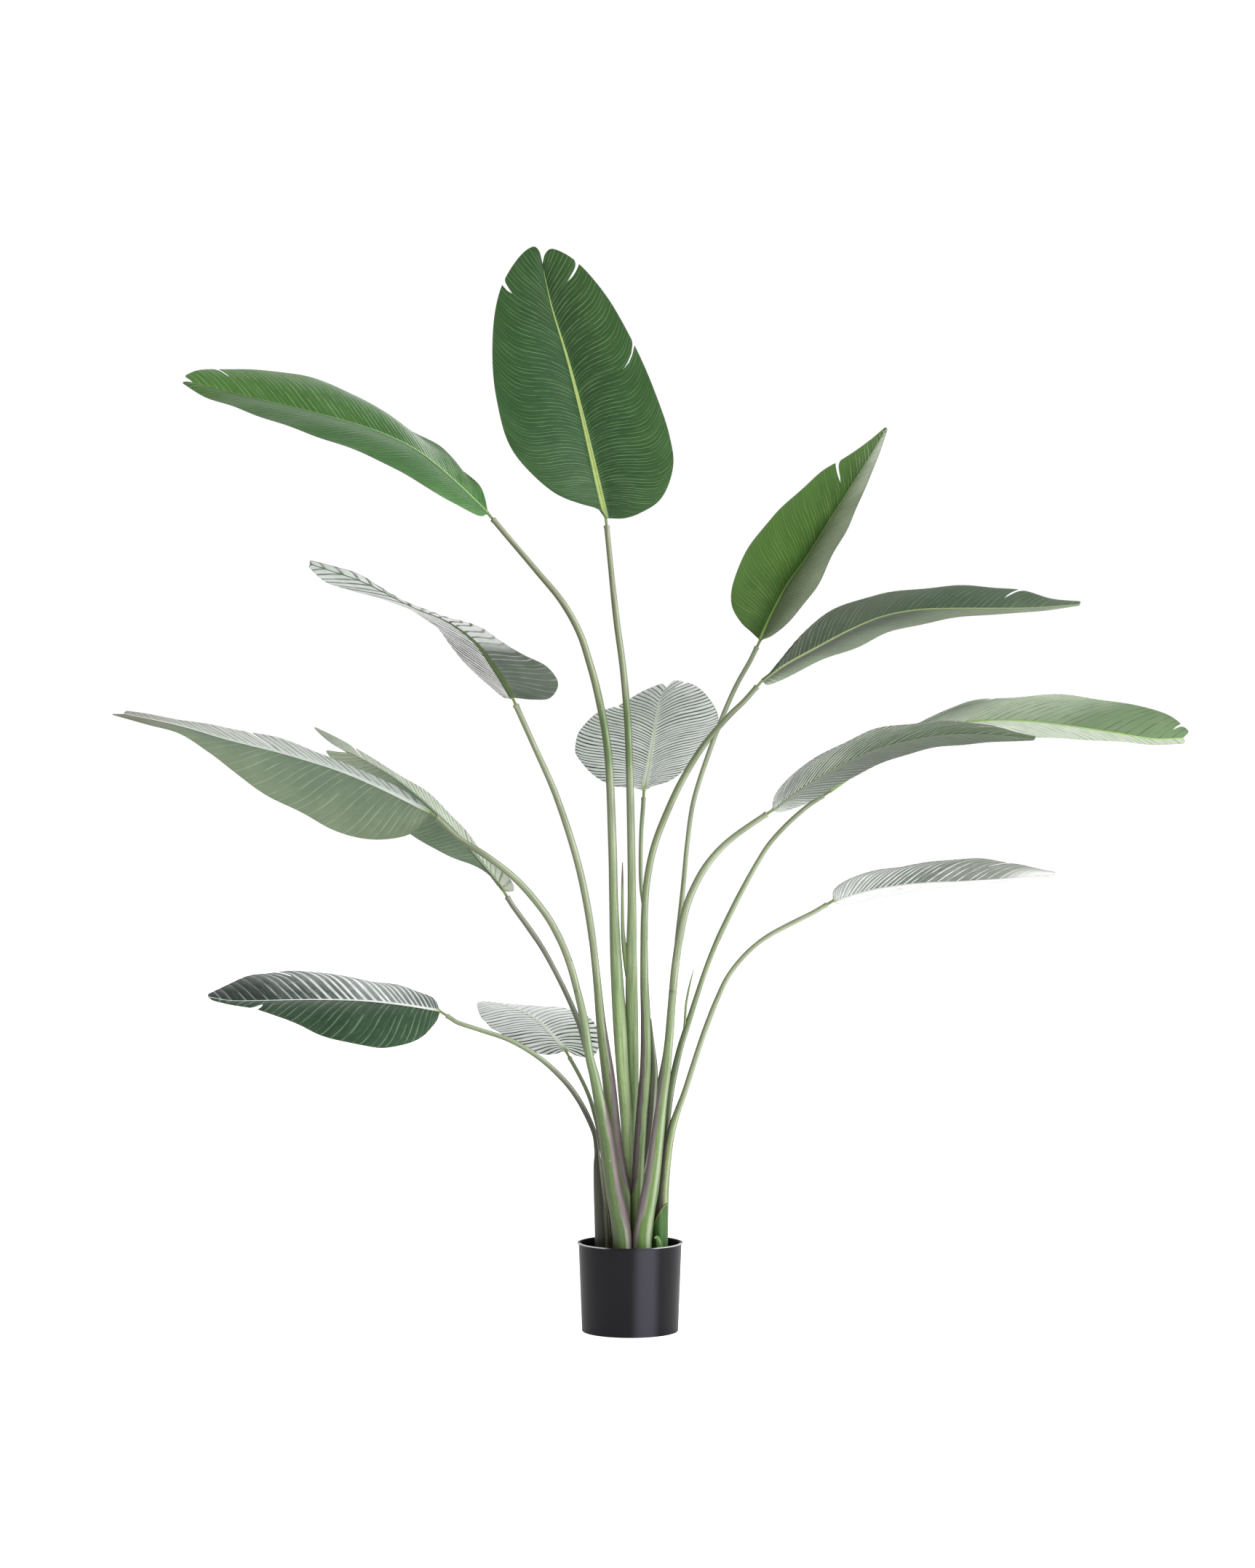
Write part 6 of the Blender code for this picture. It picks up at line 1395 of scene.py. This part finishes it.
def make_filling(finish):
    """Loose crumbs up to the walls: a disc of small domes closed by its sides and underside."""
    bottom = POT_FLOOR + TOUCHING_GAP
    top_radius = pot_inside(FILLING_TOP) - TOUCHING_GAP
    radii = np.linspace(0, top_radius, FILLING_RINGS)
    turn = all_round(FILLING_SIDES)
    x, y = radii[:, None] * np.cos(turn), radii[:, None] * np.sin(turn)
    random = np.random.default_rng(FILLING_SEED)
    crumbs = random.uniform(-top_radius, top_radius, (CRUMBS, 2))
    height = np.zeros_like(x)
    for (cx, cy), size in zip(crumbs, random.uniform(*CRUMB_RADII, CRUMBS)):
        square = ((x - cx) ** 2 + (y - cy) ** 2) / size**2
        height = np.maximum(height, np.sqrt(np.clip(1 - square, 0, 1)) * size * CRUMB_FLATNESS)
    heights = FILLING_BED + height * eased(0, FILLING_EDGE_WIDTH, top_radius - radii)[:, None]
    heights[-1] = FILLING_EDGE
    heights = np.concatenate([heights, np.full((2, len(turn)), bottom)])
    radii = [*radii, pot_inside(bottom) - TOUCHING_GAP, 0]
    piece = grid("pot_filling", round_places(radii, heights, turn))
    close_up()
    finished(piece, "pot_filling", finish, angle=50)


def make_cut_sheath(finish):
    """A short hollow stub, cut in a curve that rises to the right."""
    rings = [(0.0, STEM_FOOT, 0.0), (1.0, STEM_FOOT, 0.0)]
    rings += [(1.0, height, 0.0) for height in np.linspace(STEM_FOOT, CUT_SHEATH_BEND, CUT_SHEATH_STATIONS)[1:]]
    rings += [(share, CUT_SHEATH_TOP + rise, 1.0) for share, rise in CUT_SHEATH_RIM]
    rings += [(0.82, CUT_SHEATH_FLOOR + 0.001, 0.0), (0.0, CUT_SHEATH_FLOOR, 0.0)]
    shares, heights, slants = np.array(rings).T[:, :, None]
    turn = all_round(CUT_SHEATH_SIDES)
    rise = CUT_SHEATH_SLANT * CUT_SHEATH_RADIUS * (np.cos(turn) + CUT_SHEATH_CURVE * np.sin(turn) ** 2)
    places = round_places(CUT_SHEATH_RADIUS * shares, heights + slants * shares * rise, turn)
    piece = grid("cut_sheath", places + np.array([*CUT_SHEATH_PLACE, 0.0]))
    rim = (slants > 0) & (shares < 1) | (heights == CUT_SHEATH_TOP)
    give(piece.data, "rim", "FLOAT", np.tile(rim, (1, len(turn))))
    close_up()
    finished(piece, "cut_sheath", finish, angle=40)


def make_curled_bud(finish):
    """A small shoot that stands in the filling and hooks over at its tip."""
    path = route(BUD_PATH)
    x, y, *_ = path[0]
    foot = [(x, y, z, BUD_RADIUS) for z in np.linspace(STEM_FOOT, BUD_LEAVES_FILLING, BUD_FOOT_STATIONS)]
    hook = Line(path).at(np.linspace(0, 1, BUD_STATIONS))
    piece = make_tube("curled_bud", [*foot, *hook], BUD_SIDES)
    finished(piece, "curled_bud", finish, angle=50)


def make_floor():
    """A plain pale floor that the camera sees as white."""
    floor = start("floor", bpy.ops.mesh.primitive_plane_add, size=FLOOR_SIZE)
    paper = Finish("floor", roughness=1.0, specular_ior_level=0.0)
    paper.colour(FLOOR_COLOUR)
    paper.feed(paper.shader.inputs["Emission Color"], WHITE)
    paper.feed(paper.shader.inputs["Emission Strength"], FLOOR_GLOW)
    seen = paper.node("ShaderNodeLightPath", {}, output="Is Camera Ray")
    white = paper.node("ShaderNodeEmission", {}, WHITE, FLOOR_SEEN)
    lit = paper.node("ShaderNodeMixShader", {}, seen, Wire(paper, paper.shader.outputs[0]), white)
    paper.feed(paper.tree.nodes["Material Output"].inputs["Surface"], lit)
    floor.data.materials.append(paper.material)


def make_light():
    """Two large lamps and an even sky, which the camera sees as white."""
    for name, place, size, power in LAMPS:
        bpy.ops.object.light_add(type="AREA", location=place)
        light = bpy.context.object
        light.name = name
        light.data.size = size
        light.data.energy = power
        light.rotation_euler = (Vector(LAMPS_AIM) - Vector(place)).to_track_quat("-Z", "Y").to_euler()
    world = bpy.data.worlds.new("studio")
    bpy.context.scene.world = world
    sky = Nodes(world)
    backdrop = sky.tree.nodes["Background"]
    sky.feed(backdrop.inputs["Color"], WHITE)
    seen = sky.node("ShaderNodeLightPath", {}, output="Is Camera Ray")
    strength = sky.node("ShaderNodeMapRange", {}, Value=seen, **{"To Min": WORLD_STRENGTH})
    sky.feed(backdrop.inputs["Strength"], strength)


def make_camera():
    """The camera at the photograph's place."""
    bpy.ops.object.camera_add(location=(EYE_ACROSS, -EYE_DISTANCE, EYE_HEIGHT),
                              rotation=(math.radians(90 + EYE_TILT), 0, 0))
    camera = bpy.context.object
    camera.data.lens = LENS
    camera.data.sensor_width = SENSOR_WIDTH
    bpy.context.scene.camera = camera
    bpy.context.scene.view_settings.view_transform = "Standard"


def main():
    """Builds every piece in turn, then the studio round the plant."""
    upper, under = leaf_finish("upper", roughness=0.48, cord=0.35), leaf_finish("under", roughness=0.58, cord=0.3)
    leaves = {name: Leaf(**shape) for name, shape in LEAVES.items()}
    stem = stem_finish(pin_places(leaves))
    make_pot(pot_finish())
    make_filling(filling_finish())
    make_cut_sheath(plain_finish("sheath", *SHEATH_TONES, roughness=0.5))
    make_curled_bud(plain_finish("bud", *BUD_TONES, roughness=0.55))
    for number, (name, leaf) in enumerate(leaves.items(), start=1):
        make_leaf(name, leaf, number, (upper, under))
        make_stem("stem_" + name[-2:], leaf, stem)
    make_floor()
    make_light()
    make_camera()


main()
